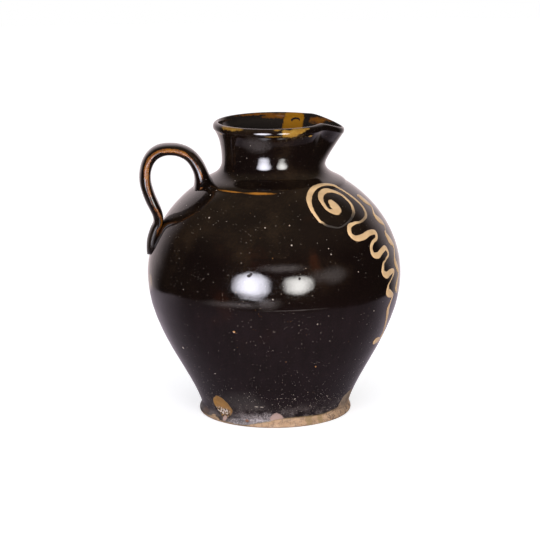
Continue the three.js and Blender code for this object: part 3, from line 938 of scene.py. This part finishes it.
# Roughness of the finishes. The glaze's are where it is glossy, grainy and worn.
GLAZE_ROUGH = (0.05, 0.17, 0.26)
HANDLE_ROUGH = (0.10, 0.24)
SLIP_ROUGH = (0.14, 0.28)
AMBER_ROUGH = 0.34
TAIL_ROUGH = 0.36
HAZE_ROUGH = 0.38
SCUM_ROUGH = 0.50
SPECK_ROUGH = 0.50
CLAY_ROUGH = 0.85
GLAZE_IOR = 1.6
HANDLE_IOR = 1.45

# Relief in millimetres: waves, orange peel and grit of the finishes, how far the glaze stands
# proud of the bare clay, and the depth of the clay's pores
BODY_RIPPLE = {"Waves": 0.22, "Peel": 0.06, "Grit": 0.014}
HANDLE_RIPPLE = {"Waves": 0.18, "Peel": 0.05, "Grit": 0.004}
SLIP_RIPPLE = {"Waves": 0.08, "Peel": 0.03, "Grit": 0.004}
GLAZE_STANDS = 0.30
PORE_DEPTH = 0.16

# Heights between which a look comes in, the first where there is none of it
MOTTLED = (0.105, 0.165)
# Below the belly, where the table's purple reflection is painted in
LOW_TABLE_SHEEN = (0.125, 0.10)
FEWER_SPECKS = (0.205, 0.222)
FOOT_SPECKS = (0.070, 0.012)
SPATTERED = (0.044, 0.010)
SCUMMED = (0.026, 0.003)
DULL_FOOT = (0.013, 0.006)
# The sole's bottom edge turns darker
DARKER_SOLE_EDGE = (0.0012, 0.0002)

# The same, down from the glaze's lower edge: the bare clay, and the brown line along it
BARE_CLAY = (0.0, 0.0003)
BROWN_LINE = (-0.0008, -0.0001)

# Shares of the handle's length between which its tail turns duller
DULL_TAIL = (0.82, 0.88)


def new_material(name):
    material = bpy.data.materials.new(name)
    material.use_nodes = True
    material.node_tree.nodes.clear()
    return material, Nodes(material.node_tree)


def finish_material(nodes, color, roughness, relief, ior=GLAZE_IOR):
    """Joins up the surface. Its relief is in millimetres."""
    relief = nodes.add("Bump", {"Height": relief, "Distance": 0.001, "Strength": 1.0})
    shader = nodes.add("BsdfPrincipled", {
        "Base Color": color, "Roughness": roughness, "IOR": ior, "Normal": relief.outputs[0],
    })
    output = nodes.add("OutputMaterial")
    nodes.feed(output.inputs["Surface"], shader.outputs[0])


# How far a patch reaches into the wall and out of it
PATCH_DEPTH = 0.012

# Patches on the wall: degrees round, height and radius in millimetres, half its width in
# degrees, half its height in millimetres, how ragged, fineness of the rags, softness, and how
# square, 2 for an oval
RIDGE_LINE = [
    (-130.5, 206.0, 64.6, 9.5, 0.5, 0.5, 260, 0.6, 2),
    (-105.8, 205.8, 64.6, 10, 0.8, 0.5, 260, 0.5, 2), (118, 205.6, 64.6, 14, 0.7, 0.5, 260, 0.5, 2),
]
LIP_PATCHES = [
    (-140.5, 258.5, 52.5, 13.5, 2.2, 0.7, 330, 0.3, 2),
    (-158, 251.5, 51.5, 3, 0.8, 0.8, 330, 0.3, 2), (-78.5, 255.2, 52.5, 8, 3.7, 0.4, 330, 0.16, 3),
    (-71, 257.2, 52.5, 8, 2.8, 0.4, 330, 0.16, 2), (-62, 258.0, 52.5, 4, 0.7, 0.8, 330, 0.3, 2),
    (-95, 252.6, 51.5, 7, 0.3, 0.8, 330, 0.4, 2),
    (-91, 258.2, 52.5, 3, 0.6, 0.8, 330, 0.6, 2), (-56, 251.2, 51.0, 2.2, 0.7, 0.8, 330, 0.3, 2),
    (70, 257.0, 52.0, 16, 3.0, 0.5, 260, 0.2, 2), (150, 256.5, 52.0, 10, 2.6, 0.5, 260, 0.2, 2),
]
LIP_CUT = (-79.5, 258.8, 52.0, 3, 1.1, 0.6, 330, 0.3, 2)
OCHRE_PANE = (60.2, 250.0, 46.5, 11.8, 12, 0.18, 260, 0.1, 4)
PANE_ARCH = (58.4, 254.2, 47.5, 5.4, 2.3, 0.15, 330, 0.1, 2)
UNDER_ARCH = (57.6, 252.7, 47.0, 4.6, 2.3, 0.15, 330, 0.1, 2)
INSIDE_RUST = [
    (98, 259.2, 48.5, 24, 0.9, 1.1, 260, 0.5, 2), (82, 257.2, 47.5, 12, 1.7, 1.2, 260, 0.6, 2),
    (32, 255.5, 56.0, 9, 3.6, 0.7, 260, 0.3, 2), (20, 257.5, 62.0, 7, 2.2, 0.8, 260, 0.4, 2),
    (172, 254.0, 47.5, 9, 3.0, 0.8, 260, 0.4, 2),
]
# Scuffed glaze: rougher, with a grey sheen painted where it mirrors the light
SCUFF_SHEEN_PATCHES = [
    (-70, 142.5, 110, 7, 5.0, 0.9, 60, 0.9, 2), (-91, 150.5, 108, 8, 2.6, 1.0, 60, 0.9, 2),
    (-112, 119.5, 112, 12, 2.4, 0.9, 60, 0.9, 2), (-98.5, 121.0, 112, 4.5, 3.8, 0.7, 60, 0.8, 2),
    (-86, 115.0, 112, 11, 0.5, 1.0, 160, 0.9, 2), (-113, 245.0, 48, 13, 6.0, 0.7, 160, 0.6, 2),
    (-118, 23.0, 77, 16, 8.0, 0.9, 60, 0.7, 2),
]
# Darker patches painted where the glaze mirrors dark things
DARK_REFLECTION_PATCHES = [
    (-70, 165.0, 102, 6, 8.5, 0.5, 60, 0.5, 2), (-61, 157.0, 106, 5.5, 6.5, 0.5, 60, 0.5, 2),
    (-54, 131.0, 112, 7, 6.5, 0.5, 60, 0.6, 2), (-95, 157.2, 106, 9, 1.2, 0.9, 160, 0.5, 2),
    (-128, 148.0, 109, 13, 20, 0.6, 60, 0.6, 2),
]
RED_PATCH = (-76.6, 154.5, 106, 2.2, 6.8, 1.0, 160, 0.7, 2)
BARE_FLAKE = (-169.5, 124.5, 112, 2.2, 4.8, 0.5, 160, 0.2, 2)
PITS = [
    (-106.1, 144.3, 110, 0.9, 1.1, 0.5, 500, 0.3, 2),
    (-105.3, 145.8, 110, 0.7, 1.1, 0.5, 500, 0.3, 2),
    (-84.0, 141.8, 110.5, 0.5, 1.1, 0.5, 500, 0.3, 2),
]
CRUST_PATCHES = [
    (-110, 6.2, 67, 13, 5.0, 0.7, 160, 0.6, 2), (-101, 9.0, 67, 5, 4.0, 0.7, 160, 0.6, 2),
    (-124, 3.0, 67, 9, 2.6, 0.7, 160, 0.4, 2),
]
SCRATCHES = [
    (-108.4, 19.7, 71, 1.3, 0.3, 0.4, 500, 0.4, 2), (-104.6, 19.7, 71, 1.2, 0.3, 0.4, 500, 0.4, 2),
]
CLAY_TONGUE = (-30, 17.0, 69, 12, 12, 0.5, 120, 0.5, 2)
DIRTY_SIDE = (-30, 4.0, 68, 24, 8, 0.6, 120, 0.5, 2)
LEFT_STRIPE = (-69, 6.0, 67, 2.7, 8, 0.35, 300, 0.3, 2)
RIGHT_STRIPE = (-59, 6.0, 67, 2.2, 8, 0.35, 300, 0.3, 2)
BROKEN_CHIP = (-139, 10.0, 67, 8, 3.4, 1.0, 330, 0.3, 2)
CHARRED_CHIP = (-137, 6.8, 67, 8, 2.0, 0.8, 330, 0.3, 2)
FOOT_FLAKES = [
    ((-149, 3.0, 68, 3.0, 2.0, 0.6, 330, 0.25, 2), CLAY),
    ((-136.5, 4.2, 68, 1.8, 2.2, 0.6, 330, 0.25, 2), PINK),
    ((-117, 5.2, 68, 1.3, 1.1, 0.6, 330, 0.25, 2), RUST),
    ((-163, 4.6, 68, 5.5, 2.6, 0.6, 330, 0.25, 2), CLAY_GRIME),
]


def wall_patch(nodes, row):
    """A patch on the wall, as a row of the tables describes it"""
    turn, height, radius, half_turn, half_height, ragged, grain, soft, corners = row
    angle = math.radians(turn)
    radius *= 0.001
    return nodes.group(
        "patch", Place=polar(angle, radius, 0.001 * height), Turn=(0, 0, angle),
        Reach=(PATCH_DEPTH, math.radians(half_turn) * radius, 0.001 * half_height),
        Ragged=ragged, Grain=grain, Soft=soft, Corners=corners,
    )


def chip_patch(nodes, chip, ragged, soft, corners):
    return nodes.group(
        "patch", Place=chip_middle(chip),
        Turn=(math.radians(chip.tilt), 0, math.radians(chip.turn)),
        Reach=(PATCH_DEPTH, chip.half_width, chip.half_height),
        Ragged=ragged, Grain=CHIP_RAG_GRAIN, Soft=soft, Corners=corners,
    )


def patches(nodes, table):
    """The strongest of a table's patches at each place"""
    shown = 0.0
    for row in table:
        shown = nodes.larger(shown, wall_patch(nodes, row))
    return shown


def glaze_color(nodes):
    """Near-black glaze, mottled brown and olive on the shoulder; below the belly streaky, with the
    purple sheen of the mirrored table painted in
    """
    height = nodes.height()
    high = nodes.step(height, *MOTTLED)
    cloud = nodes.noise(21, detail=5, roughness=0.62)
    grain = nodes.noise(520, detail=4, roughness=0.75, seed=12.0)
    mottle = nodes.scaled(nodes.minus(grain, 0.5), 0.45, cloud)
    mottle = nodes.times(nodes.step(mottle, 0.42, 0.72), high)
    color = nodes.blend(mottle, GLAZE_DARK, GLAZE_BROWN)
    flecks = nodes.clouds(0.57, 0.70, 950, detail=3, roughness=0.7, seed=18.0)
    flecks = nodes.times(flecks, nodes.times(mottle, 0.75))
    color = nodes.blend(flecks, color, GLAZE_OLIVE)
    red = nodes.clouds(0.60, 0.76, 26, detail=3, seed=5.0)
    color = nodes.blend(nodes.times(red, 0.25), color, GLAZE_RED)
    # Streaks below the belly, painted lighter and purple like the mirrored table
    streaks = nodes.noise(150, detail=3, vector=nodes.scaled_place(1, 1, 0.10), seed=19.0)
    low = nodes.plus(grain, nodes.minus(streaks, 0.5))
    low = nodes.times(nodes.step(height, *LOW_TABLE_SHEEN), nodes.step(low, 0.10, 0.85))
    return nodes.blend(low, color, GLAZE_LOW_TABLE_SHEEN)


# Upper edge of the bare foot: degrees round, height in millimetres. Its curve goes up to
# BARE_TOP, and the edge wanders from it by BARE_WANDER at most.
BARE_EDGE = (
    (-180, 1.2), (-165, 1.6), (-152, 2.6), (-146, 3.4), (-140, 1.6), (-128, 1.2), (-119, 1.0),
    (-113, 2.4), (-105, 4.2), (-99, 5.4), (-91.5, 7.3), (-83, 8.2), (-72, 8.2), (-61, 7.4),
    (-55, 7.4), (-48, 8.6), (-40.5, 9.2), (-38.5, 13), (-36, 19.2), (-31, 21.6), (-25, 22.5),
    (-19, 17), (-12, 10), (0, 7), (20, 6), (45, 7.5), (70, 4), (95, 5.5), (125, 3), (150, 3.5),
    (180, 1.2),
)
BARE_TOP = 30
BARE_WANDER = 0.0011


def bare_foot(nodes):
    """How far a place lies below the glaze's wavy edge, where the clay of the foot is bare"""
    split = nodes.add("SeparateXYZ", {0: nodes.place()}).outputs
    turn = nodes.math("ARCTAN2", split[1], split[0])
    turn = nodes.scaled(turn, 0.5 / math.pi, 0.5)
    edge = nodes.add("FloatCurve", {"Value": turn})
    curve = edge.mapping.curves[0]
    points = [(degrees / 360 + 0.5, height / BARE_TOP) for degrees, height in BARE_EDGE]
    curve.points[0].location = points[0]
    curve.points[1].location = points[-1]
    for at in points[1:-1]:
        curve.points.new(*at)
    edge.mapping.update()
    height = nodes.times(edge.outputs[0], 0.001 * BARE_TOP)
    wander = nodes.wander(330, detail=4, roughness=0.65)
    height = nodes.plus(height, nodes.times(wander, 2 * BARE_WANDER))
    return nodes.minus(height, split[2])


def specked(nodes, color, where, low):
    """Pale specks in the glaze: a few large, many small, and dashes where it was scuffed"""
    dusty = nodes.clouds(0.42, 0.62, 24, detail=3, seed=20.0)
    share = nodes.scaled(dusty, 0.26, nodes.times(low, 0.45))
    faint = nodes.group("specks", Scale=820.0, Size=0.26, Share=share)
    share = nodes.scaled(low, 0.58, 0.20)
    small = nodes.group("specks", Scale=470.0, Size=0.19, Share=share)
    faint = nodes.larger(faint, small)
    scuffed = nodes.clouds(0.52, 0.62, 32, detail=2, seed=14.0)
    dashes = nodes.group("specks", Scale=300.0, Size=0.16, Share=0.5, Stretch=(0.55, 0.55, 1.3))
    dashes = nodes.times(dashes, nodes.times(scuffed, low))
    faint = nodes.times(nodes.larger(faint, dashes), 0.5)
    middling = nodes.group("specks", Scale=190.0, Size=0.14, Share=0.24)
    faint = nodes.larger(faint, nodes.times(middling, 0.7))
    large = nodes.group("specks", Scale=82.0, Size=0.105, Share=0.5)
    specks = nodes.times(nodes.larger(faint, large), where)
    few = nodes.level(nodes.step(nodes.height(), *FEWER_SPECKS), 1.0, 0.35)
    specks = nodes.times(specks, few)
    warm = nodes.clouds(0.62, 0.66, 140, detail=1, seed=15.0)
    tone = nodes.blend(warm, SPECK, SPECK_ORANGE)
    return specks, nodes.blend(specks, color, tone)


def neck_color(nodes, color, inner, outside, vary):
    """Amber and rust where the glaze runs thin: the ridge, the lip and inside the neck"""
    color = nodes.blend(nodes.times(inner, 0.5), color, HAZE_SHEEN_GREY)
    rust = nodes.times(patches(nodes, INSIDE_RUST), inner)
    color = nodes.blend(rust, color, nodes.blend(vary, INNER_RUST, AMBER))
    pane = wall_patch(nodes, OCHRE_PANE)
    arch = wall_patch(nodes, PANE_ARCH)
    arch = nodes.minus(arch, wall_patch(nodes, UNDER_ARCH), clamped=True)
    pane = nodes.times(nodes.minus(pane, arch, clamped=True), inner)
    color = nodes.blend(pane, color, OCHRE)
    color = nodes.blend(patches(nodes, RIDGE_LINE), color, AMBER)
    cut = wall_patch(nodes, LIP_CUT)
    lips = nodes.minus(patches(nodes, LIP_PATCHES), cut, clamped=True)
    lips = nodes.times(lips, outside)
    return nodes.blend(lips, color, nodes.blend(vary, LIP_DEEP, LIP_AMBER))


def wear_and_painted_reflection_color(nodes, color):
    """Painted grey sheen on rougher, scuffed glaze, painted dark reflections, and redder or flaked
    places
    """
    dark_reflection = patches(nodes, DARK_REFLECTION_PATCHES)
    # Painted dark reflections
    color = nodes.blend(nodes.times(dark_reflection, 0.85), color, GLAZE_DARK)
    red = nodes.times(wall_patch(nodes, RED_PATCH), 0.45)
    color = nodes.blend(red, color, GLAZE_RED)
    color = nodes.blend(wall_patch(nodes, BARE_FLAKE), color, CLAY_STRIPE)
    # Grey sheen painted into the colour of the scuffed patches, which are also rougher
    scuff_sheen = patches(nodes, SCUFF_SHEEN_PATCHES)
    scratched = nodes.clouds(0.3, 0.7, 700, detail=4, roughness=0.7, seed=21.0)
    scuff_sheen = nodes.times(scuff_sheen, nodes.scaled(scratched, 0.3, 0.7))
    return scuff_sheen, nodes.blend(nodes.times(scuff_sheen, 0.85), color, HAZE_SHEEN_GREY)


def foot_clay(nodes, height_at):
    """Bare clay with grime, a darker bottom edge, pale rubbed places and two brown stripes"""
    grime = nodes.clouds(0.47, 0.58, 300, detail=6, roughness=0.8, seed=6.0)
    spots = nodes.group("specks", Scale=480.0, Size=0.26, Share=0.45)
    worn = nodes.clouds(0.45, 0.7, 130, detail=4, seed=16.0)
    clay = nodes.blend(worn, CLAY, CLAY_PALE)
    tongue = nodes.times(wall_patch(nodes, CLAY_TONGUE), 0.8)
    clay = nodes.blend(tongue, clay, CLAY_GREY)
    dirty_side = wall_patch(nodes, DIRTY_SIDE)
    # Darker along the bottom edge of the sole
    sole = nodes.step(height_at, *DARKER_SOLE_EDGE)
    darker_clay = nodes.times(grime, nodes.scaled(dirty_side, 0.30, 0.58))
    darker_clay = nodes.plus(darker_clay, nodes.times(dirty_side, 0.06), clamped=True)
    spots, sole = nodes.times(spots, 0.8), nodes.times(sole, 0.6)
    darker_clay = nodes.larger(nodes.larger(darker_clay, spots), sole)
    clay = nodes.blend(darker_clay, clay, CLAY_GRIME)
    stripes = nodes.larger(wall_patch(nodes, LEFT_STRIPE), wall_patch(nodes, RIGHT_STRIPE))
    return nodes.blend(nodes.times(stripes, 0.8), clay, CLAY_STRIPE)


def foot_glaze(nodes, color, height_at, outside):
    """Grey scum and white spatter that settled on the glaze above the foot"""
    cloud = nodes.clouds(0.40, 0.66, 75, detail=5, roughness=0.7, seed=8.0)
    scum = nodes.times(cloud, nodes.step(height_at, *SCUMMED))
    scum = nodes.times(scum, outside)
    color = nodes.blend(nodes.times(scum, 0.8), color, SCUM)
    crust = nodes.times(patches(nodes, CRUST_PATCHES), outside)
    flaky = nodes.clouds(0.45, 0.58, 760, detail=5, roughness=0.8, seed=22.0)
    crust = nodes.times(crust, nodes.scaled(flaky, 0.85, 0.15))
    color = nodes.blend(crust, color, CRUST)
    scum = nodes.larger(scum, crust)
    dusting = nodes.clouds(0.36, 0.62, 46, detail=4, roughness=0.6, seed=23.0)
    dusting = nodes.times(nodes.step(height_at, *SPATTERED), dusting)
    spatter = nodes.group("specks", Scale=800.0, Size=0.32, Share=dusting)
    spatter = nodes.larger(spatter, patches(nodes, SCRATCHES))
    spatter = nodes.times(spatter, outside)
    return scum, nodes.blend(nodes.times(spatter, 0.85), color, SPECK)


def chipped(nodes, color, vary, outside):
    """Chips: ochre with broken white and black bits, a pink one, and small flakes by them"""
    ochre = chip_patch(nodes, OCHRE_CHIP, ragged=CHIP_RAGGED, soft=0.05, corners=2.9)
    color = nodes.blend(ochre, color, nodes.blend(vary, CHIP_DEEP, CHIP_OCHRE))
    bits = nodes.noise(520, detail=3, roughness=0.6, seed=9.0)
    broken = wall_patch(nodes, BROKEN_CHIP)
    pale = nodes.times(nodes.times(broken, ochre), nodes.step(bits, 0.52, 0.55))
    color = nodes.blend(pale, color, CHIP_WHITE)
    charred = wall_patch(nodes, CHARRED_CHIP)
    charred = nodes.times(nodes.larger(charred, broken), outside)
    charred = nodes.times(charred, nodes.step(bits, 0.50, 0.46))
    color = nodes.blend(charred, color, CHIP_BLACK)
    pink = chip_patch(nodes, PINK_CHIP, ragged=0.30, soft=0.10, corners=1.7)
    color = nodes.blend(nodes.times(pink, 0.95), color, PINK)
    chips = nodes.larger(ochre, pink)
    for row, tone in FOOT_FLAKES:
        flake = nodes.times(wall_patch(nodes, row), outside)
        color = nodes.blend(flake, color, tone)
    return chips, color


def body_material():
    material, nodes = new_material("dark_glaze_body")
    height_at = nodes.height()
    inner = nodes.attribute("inner")
    outside = nodes.minus(1.0, inner)
    vary = nodes.clouds(0.35, 0.7, 260, detail=4, roughness=0.65, seed=4.0)
    color = glaze_color(nodes)
    scuff_sheen, color = wear_and_painted_reflection_color(nodes, color)
    color = neck_color(nodes, color, inner, outside, vary)
    specks, color = specked(nodes, color, outside, nodes.step(height_at, *FOOT_SPECKS))
    scum, color = foot_glaze(nodes, color, height_at, outside)
    chips, color = chipped(nodes, color, vary, outside)

    # Bare clay of the foot and base, edged by a brown line where the glaze thins
    under = nodes.minus(bare_foot(nodes), inner)
    bare = nodes.step(under, *BARE_CLAY)
    edge = nodes.times(nodes.step(under, *BROWN_LINE), outside)
    color = nodes.blend(nodes.times(edge, 0.8), color, CLAY_STRIPE)
    color = nodes.blend(bare, color, foot_clay(nodes, height_at))
    pits = patches(nodes, PITS)
    color = nodes.blend(pits, color, CHIP_BLACK)

    # Roughness: glossy glaze, dull haze and scum, matt clay and chips
    matt = nodes.larger(bare, chips)
    shine = nodes.clouds(0.44, 0.72, 950, detail=3, roughness=0.7, seed=1.0)
    worn = nodes.clouds(0.50, 0.72, 34, detail=3, seed=17.0)
    glossy, grainy, rubbed = GLAZE_ROUGH
    roughness = nodes.level(shine, glossy, nodes.level(worn, grainy, rubbed))
    roughness = nodes.level(nodes.times(scuff_sheen, 0.5), roughness, HAZE_ROUGH)
    foot_dull = nodes.step(height_at, *DULL_FOOT)
    roughness = nodes.level(nodes.larger(scum, foot_dull), roughness, SCUM_ROUGH)
    roughness = nodes.level(specks, roughness, SPECK_ROUGH)
    roughness = nodes.level(nodes.larger(matt, pits), roughness, CLAY_ROUGH)

    # Relief: the run glaze stands proud of the bare clay
    relief = nodes.group("ripple", **BODY_RIPPLE)
    relief = nodes.minus(relief, nodes.times(bare, GLAZE_STANDS))
    pores = nodes.times(nodes.noise(900, detail=4, roughness=0.7), bare)
    relief = nodes.plus(relief, nodes.times(pores, PORE_DEPTH))
    finish_material(nodes, color, roughness, relief)
    return material


def handle_material():
    material, nodes = new_material("dark_glaze_handle")
    color = glaze_color(nodes)
    thin = nodes.attribute("amber")
    wander = nodes.wander(190, detail=5, roughness=0.7)
    thin = nodes.scaled(wander, 1.1, thin)
    amber = nodes.step(thin, 0.48, 0.66)
    vary = nodes.clouds(0.35, 0.7, 260, detail=3, seed=4.0)
    worn = nodes.step(thin, 0.32, 0.55)
    color = nodes.blend(worn, color, RUST)
    color = nodes.blend(amber, color, nodes.blend(vary, RUST, HANDLE_GOLD))
    specks = nodes.group("specks", Scale=260.0, Size=0.12, Share=0.4)
    color = nodes.blend(nodes.times(specks, 0.7), color, SPECK)
    shine = nodes.clouds(0.42, 0.72, 950, detail=2, roughness=0.6, seed=1.0)
    roughness = nodes.level(shine, *HANDLE_ROUGH)
    roughness = nodes.level(amber, roughness, AMBER_ROUGH)
    tail = nodes.step(nodes.attribute("along"), *DULL_TAIL)
    roughness = nodes.level(tail, roughness, TAIL_ROUGH)
    roughness = nodes.level(specks, roughness, SPECK_ROUGH)
    relief = nodes.group("ripple", **HANDLE_RIPPLE)
    relief = nodes.minus(relief, nodes.times(specks, 0.1))
    finish_material(nodes, color, roughness, relief, HANDLE_IOR)
    return material


def slip_material():
    material, nodes = new_material("cream_slip")
    cover = nodes.attribute("cover")
    edge = nodes.attribute("edge")
    cloud = nodes.wander(130, detail=4, roughness=0.6)
    patchy = nodes.plus(cover, nodes.times(cloud, 0.5))
    full = nodes.step(patchy, 0.10, 0.80)
    tone = nodes.clouds(0.35, 0.7, 90, detail=4, seed=3.0)
    slip = nodes.blend(tone, SLIP, SLIP_TAN)
    rimmed = nodes.step(nodes.plus(edge, nodes.times(cloud, 0.3)), 0.72, 1.0)
    slip = nodes.blend(nodes.times(rimmed, 0.75), slip, SLIP_EDGE)
    color = nodes.blend(full, SLIP_THIN, slip)
    pits = nodes.group("specks", Scale=420.0, Size=0.14, Share=0.35)
    color = nodes.blend(nodes.times(pits, 0.8), color, CHIP_BLACK)
    shine = nodes.clouds(0.3, 0.8, 480, detail=3, roughness=0.7, seed=1.0)
    roughness = nodes.level(pits, nodes.level(shine, *SLIP_ROUGH), SPECK_ROUGH)
    relief = nodes.group("ripple", **SLIP_RIPPLE)
    relief = nodes.minus(relief, nodes.times(pits, 0.08))
    finish_material(nodes, color, roughness, relief)
    return material


# The studio

# Softboxes: degrees left of the view, distance, height, width, height of the box, glow, colour
SOFTBOXES = {
    "left_softbox": (19.4, 0.70, 0.170, 0.42, 0.38, 22.5, (0.90, 0.89, 1.0)),
    "right_softbox": (-19.4, 0.70, 0.166, 0.315, 0.265, 16, (1.0, 0.98, 0.95)),
}
SOFTBOX_POWER = 3.4
ROOM_LIGHT = 0.72

# What the glaze mirrors: a dark room before the pot, a white backdrop behind it
ROOM_FRONT = (0.020, 0.017, 0.014, 1)
ROOM_CEILING = (0.14, 0.105, 0.070, 1)
ROOM_BACK = (0.98, 0.83, 0.84, 1)
BACK_SPREAD = (-0.40, -0.96)
CEILING_SPREAD = (0.30, 0.85)


def backdrop_share(nodes, direction):
    """How much of the white backdrop lies in a direction"""
    facing = nodes.add("VectorMath", {0: direction, 1: -view_ahead}, operation="DOT_PRODUCT")
    return nodes.step(facing.outputs[1], *BACK_SPREAD)


def softbox_glow(glow, tint):
    """The light of a softbox, hot in the middle and dying away to its edges"""
    material, nodes = new_material("softbox_glow")
    middle = nodes.add("Mapping", vector_type="TEXTURE", inputs={
        "Vector": nodes.place(), "Scale": (0.5, 0.5, 1),
    })
    distance = nodes.add("VectorMath", {0: middle.outputs[0]}, operation="LENGTH").outputs[1]
    fall = nodes.minus(1.0, nodes.times(distance, distance), clamped=True)
    fall = nodes.times(fall, glow)
    light = nodes.add("Emission", {"Color": (*tint, 1), "Strength": fall})
    nodes.feed(nodes.add("OutputMaterial").inputs["Surface"], light.outputs[0])
    return material


def add_softbox(name, turn, distance, height, width, tall, glow, tint):
    """A softbox: a lamp that lights the surface, and the glowing cloth that the glaze mirrors"""
    angle = math.radians(turn)
    towards = -view_ahead * math.cos(angle) - view_right * math.sin(angle)
    at = towards * distance + Vector((0, 0, height))
    turned = (-towards).to_track_quat("-Z", "Y").to_euler()
    light = bpy.data.lights.new(name, "AREA")
    light.shape = "RECTANGLE"
    light.size = width
    light.size_y = tall
    light.color = tint
    light.energy = SOFTBOX_POWER
    lamp = bpy.data.objects.new(name, light)
    bpy.context.scene.collection.objects.link(lamp)
    lamp.location = at
    lamp.rotation_euler = turned
    lamp.visible_camera = False
    lamp.visible_glossy = False
    deselect()
    bpy.ops.mesh.primitive_plane_add(size=1, location=at, rotation=turned)
    cloth = named(name + "_cloth")
    cloth.scale = (width, tall, 1)
    cloth.data.materials.append(softbox_glow(glow, tint))
    cloth.visible_camera = False
    cloth.visible_diffuse = False
    cloth.visible_transmission = False
    cloth.visible_shadow = False


def make_studio():
    for name, box in SOFTBOXES.items():
        add_softbox(name, *box)
    world = bpy.data.worlds.new("studio")
    bpy.context.scene.world = world
    world.use_nodes = True
    world.node_tree.nodes.clear()
    nodes = Nodes(world.node_tree)
    direction = nodes.add("TexCoord").outputs["Generated"]
    height = nodes.add("SeparateXYZ", {0: direction}).outputs[2]
    mirrored_room = nodes.blend(nodes.step(height, *CEILING_SPREAD), ROOM_FRONT, ROOM_CEILING)
    mirrored_room = nodes.blend(backdrop_share(nodes, direction), mirrored_room, ROOM_BACK)
    seen = nodes.add("LightPath").outputs
    mirrored_in = nodes.larger(seen["Is Glossy Ray"], seen["Is Transmission Ray"])
    lit = (ROOM_LIGHT, ROOM_LIGHT, ROOM_LIGHT, 1)
    color = nodes.blend(mirrored_in, lit, mirrored_room)
    color = nodes.blend(seen["Is Camera Ray"], color, (1, 1, 1, 1))
    background = nodes.add("Background", {"Color": color})
    nodes.feed(nodes.add("OutputWorld").inputs["Surface"], background.outputs[0])


# The table as the glaze mirrors it: an oval top, dim before the pot and brighter behind it
TABLE_SIZE = 8
TABLE_MIDDLE = (-0.04, 0.06, 0)
TABLE_HALF_SIZE = (0.43, 0.40, 1)
TABLE_EDGE = (0.94, 1.06)
TABLE_NEAR = (0.130, 0.109, 0.126, 1)
TABLE_FAR = (0.54, 0.46, 0.53, 1)
TABLE_SPREAD = (-0.09, 0.20)

# Colour of the table to the camera and to the light that it throws back, and how far it glows
# to the camera
TABLE_SEEN = (0.78, 0.78, 0.80, 1)
TABLE_BOUNCE = (0.42, 0.40, 0.42, 1)
TABLE_GLOW = 0.5


def make_floor():
    """A white table, and what the glaze mirrors of it"""
    deselect()
    bpy.ops.mesh.primitive_plane_add(size=TABLE_SIZE, location=(0, 0, 0))
    floor = named("floor")
    material, nodes = new_material("white_table")
    seen = nodes.add("LightPath").outputs
    mirrored_in = nodes.larger(seen["Is Glossy Ray"], seen["Is Transmission Ray"])
    place_at = nodes.place()
    ahead = nodes.add("SeparateXYZ", {0: place_at}).outputs[1]
    top = nodes.blend(nodes.step(ahead, *TABLE_SPREAD), TABLE_NEAR, TABLE_FAR)
    direction = nodes.add("VectorMath", {0: place_at}, operation="NORMALIZE").outputs[0]
    beyond = nodes.blend(backdrop_share(nodes, direction), ROOM_FRONT, ROOM_BACK)
    oval = nodes.add("Mapping", vector_type="TEXTURE", inputs={
        "Vector": place_at, "Location": TABLE_MIDDLE, "Scale": TABLE_HALF_SIZE,
    })
    distance = nodes.add("VectorMath", {0: oval.outputs[0]}, operation="LENGTH").outputs[1]
    mirrored = nodes.blend(nodes.step(distance, *TABLE_EDGE), top, beyond)
    color = nodes.blend(seen["Is Camera Ray"], TABLE_BOUNCE, TABLE_SEEN)
    color = nodes.blend(mirrored_in, color, (0, 0, 0, 1))
    diffuse = nodes.add("BsdfDiffuse", {"Color": color})
    glow_color = nodes.blend(mirrored_in, (1, 1, 1, 1), mirrored)
    glowing = nodes.times(seen["Is Camera Ray"], TABLE_GLOW)
    glowing = nodes.larger(glowing, mirrored_in)
    glow = nodes.add("Emission", {"Color": glow_color, "Strength": glowing})
    both = nodes.add("AddShader", {0: diffuse.outputs[0], 1: glow.outputs[0]})
    nodes.feed(nodes.add("OutputMaterial").inputs["Surface"], both.outputs[0])
    floor.data.materials.append(material)


def make_camera():
    data = bpy.data.cameras.new("camera")
    data.lens = LENS
    data.sensor_width = SENSOR
    data.sensor_fit = "HORIZONTAL"
    data.clip_start = 0.01
    camera = bpy.data.objects.new("camera", data)
    bpy.context.scene.collection.objects.link(camera)
    at = -view_ahead * VIEW_DISTANCE - view_right * VIEW_SIDESTEP
    at.z = VIEW_HEIGHT
    turned = Matrix.Rotation(math.radians(-VIEW_TURN), 4, "Z")
    tipped = Matrix.Rotation(math.radians(90 - VIEW_PITCH), 4, "X")
    rolled = Matrix.Rotation(math.radians(-VIEW_ROLL), 4, "Z")
    camera.matrix_world = Matrix.Translation(at) @ turned @ tipped @ rolled
    bpy.context.scene.camera = camera


def dress(piece, nodes, material):
    """Gives a piece its finish and its place in the frame"""
    select(piece)
    bpy.ops.object.shade_smooth_by_angle(angle=math.radians(SHARP_ANGLE))
    piece.data.materials.clear()
    piece.data.materials.append(material)
    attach(piece, "root")
    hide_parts(*nodes)


make_camera()
build_groups()
dress(make_body(), ["body"], body_material())
dress(make_handle(), ["handle"], handle_material())
slip = slip_material()
for kind, table in (("spiral_trail", SPIRAL_TRAIL), ("wave_trail", WAVE_TRAIL)):
    near = make_trail("right_" + kind + "_slip", table)
    far = mirrored(near, "left_" + kind + "_slip")
    dress(near, ["right_" + kind], slip)
    dress(far, ["left_" + kind], slip)
make_floor()
make_studio()

scene = bpy.context.scene
scene.view_settings.view_transform = "Standard"
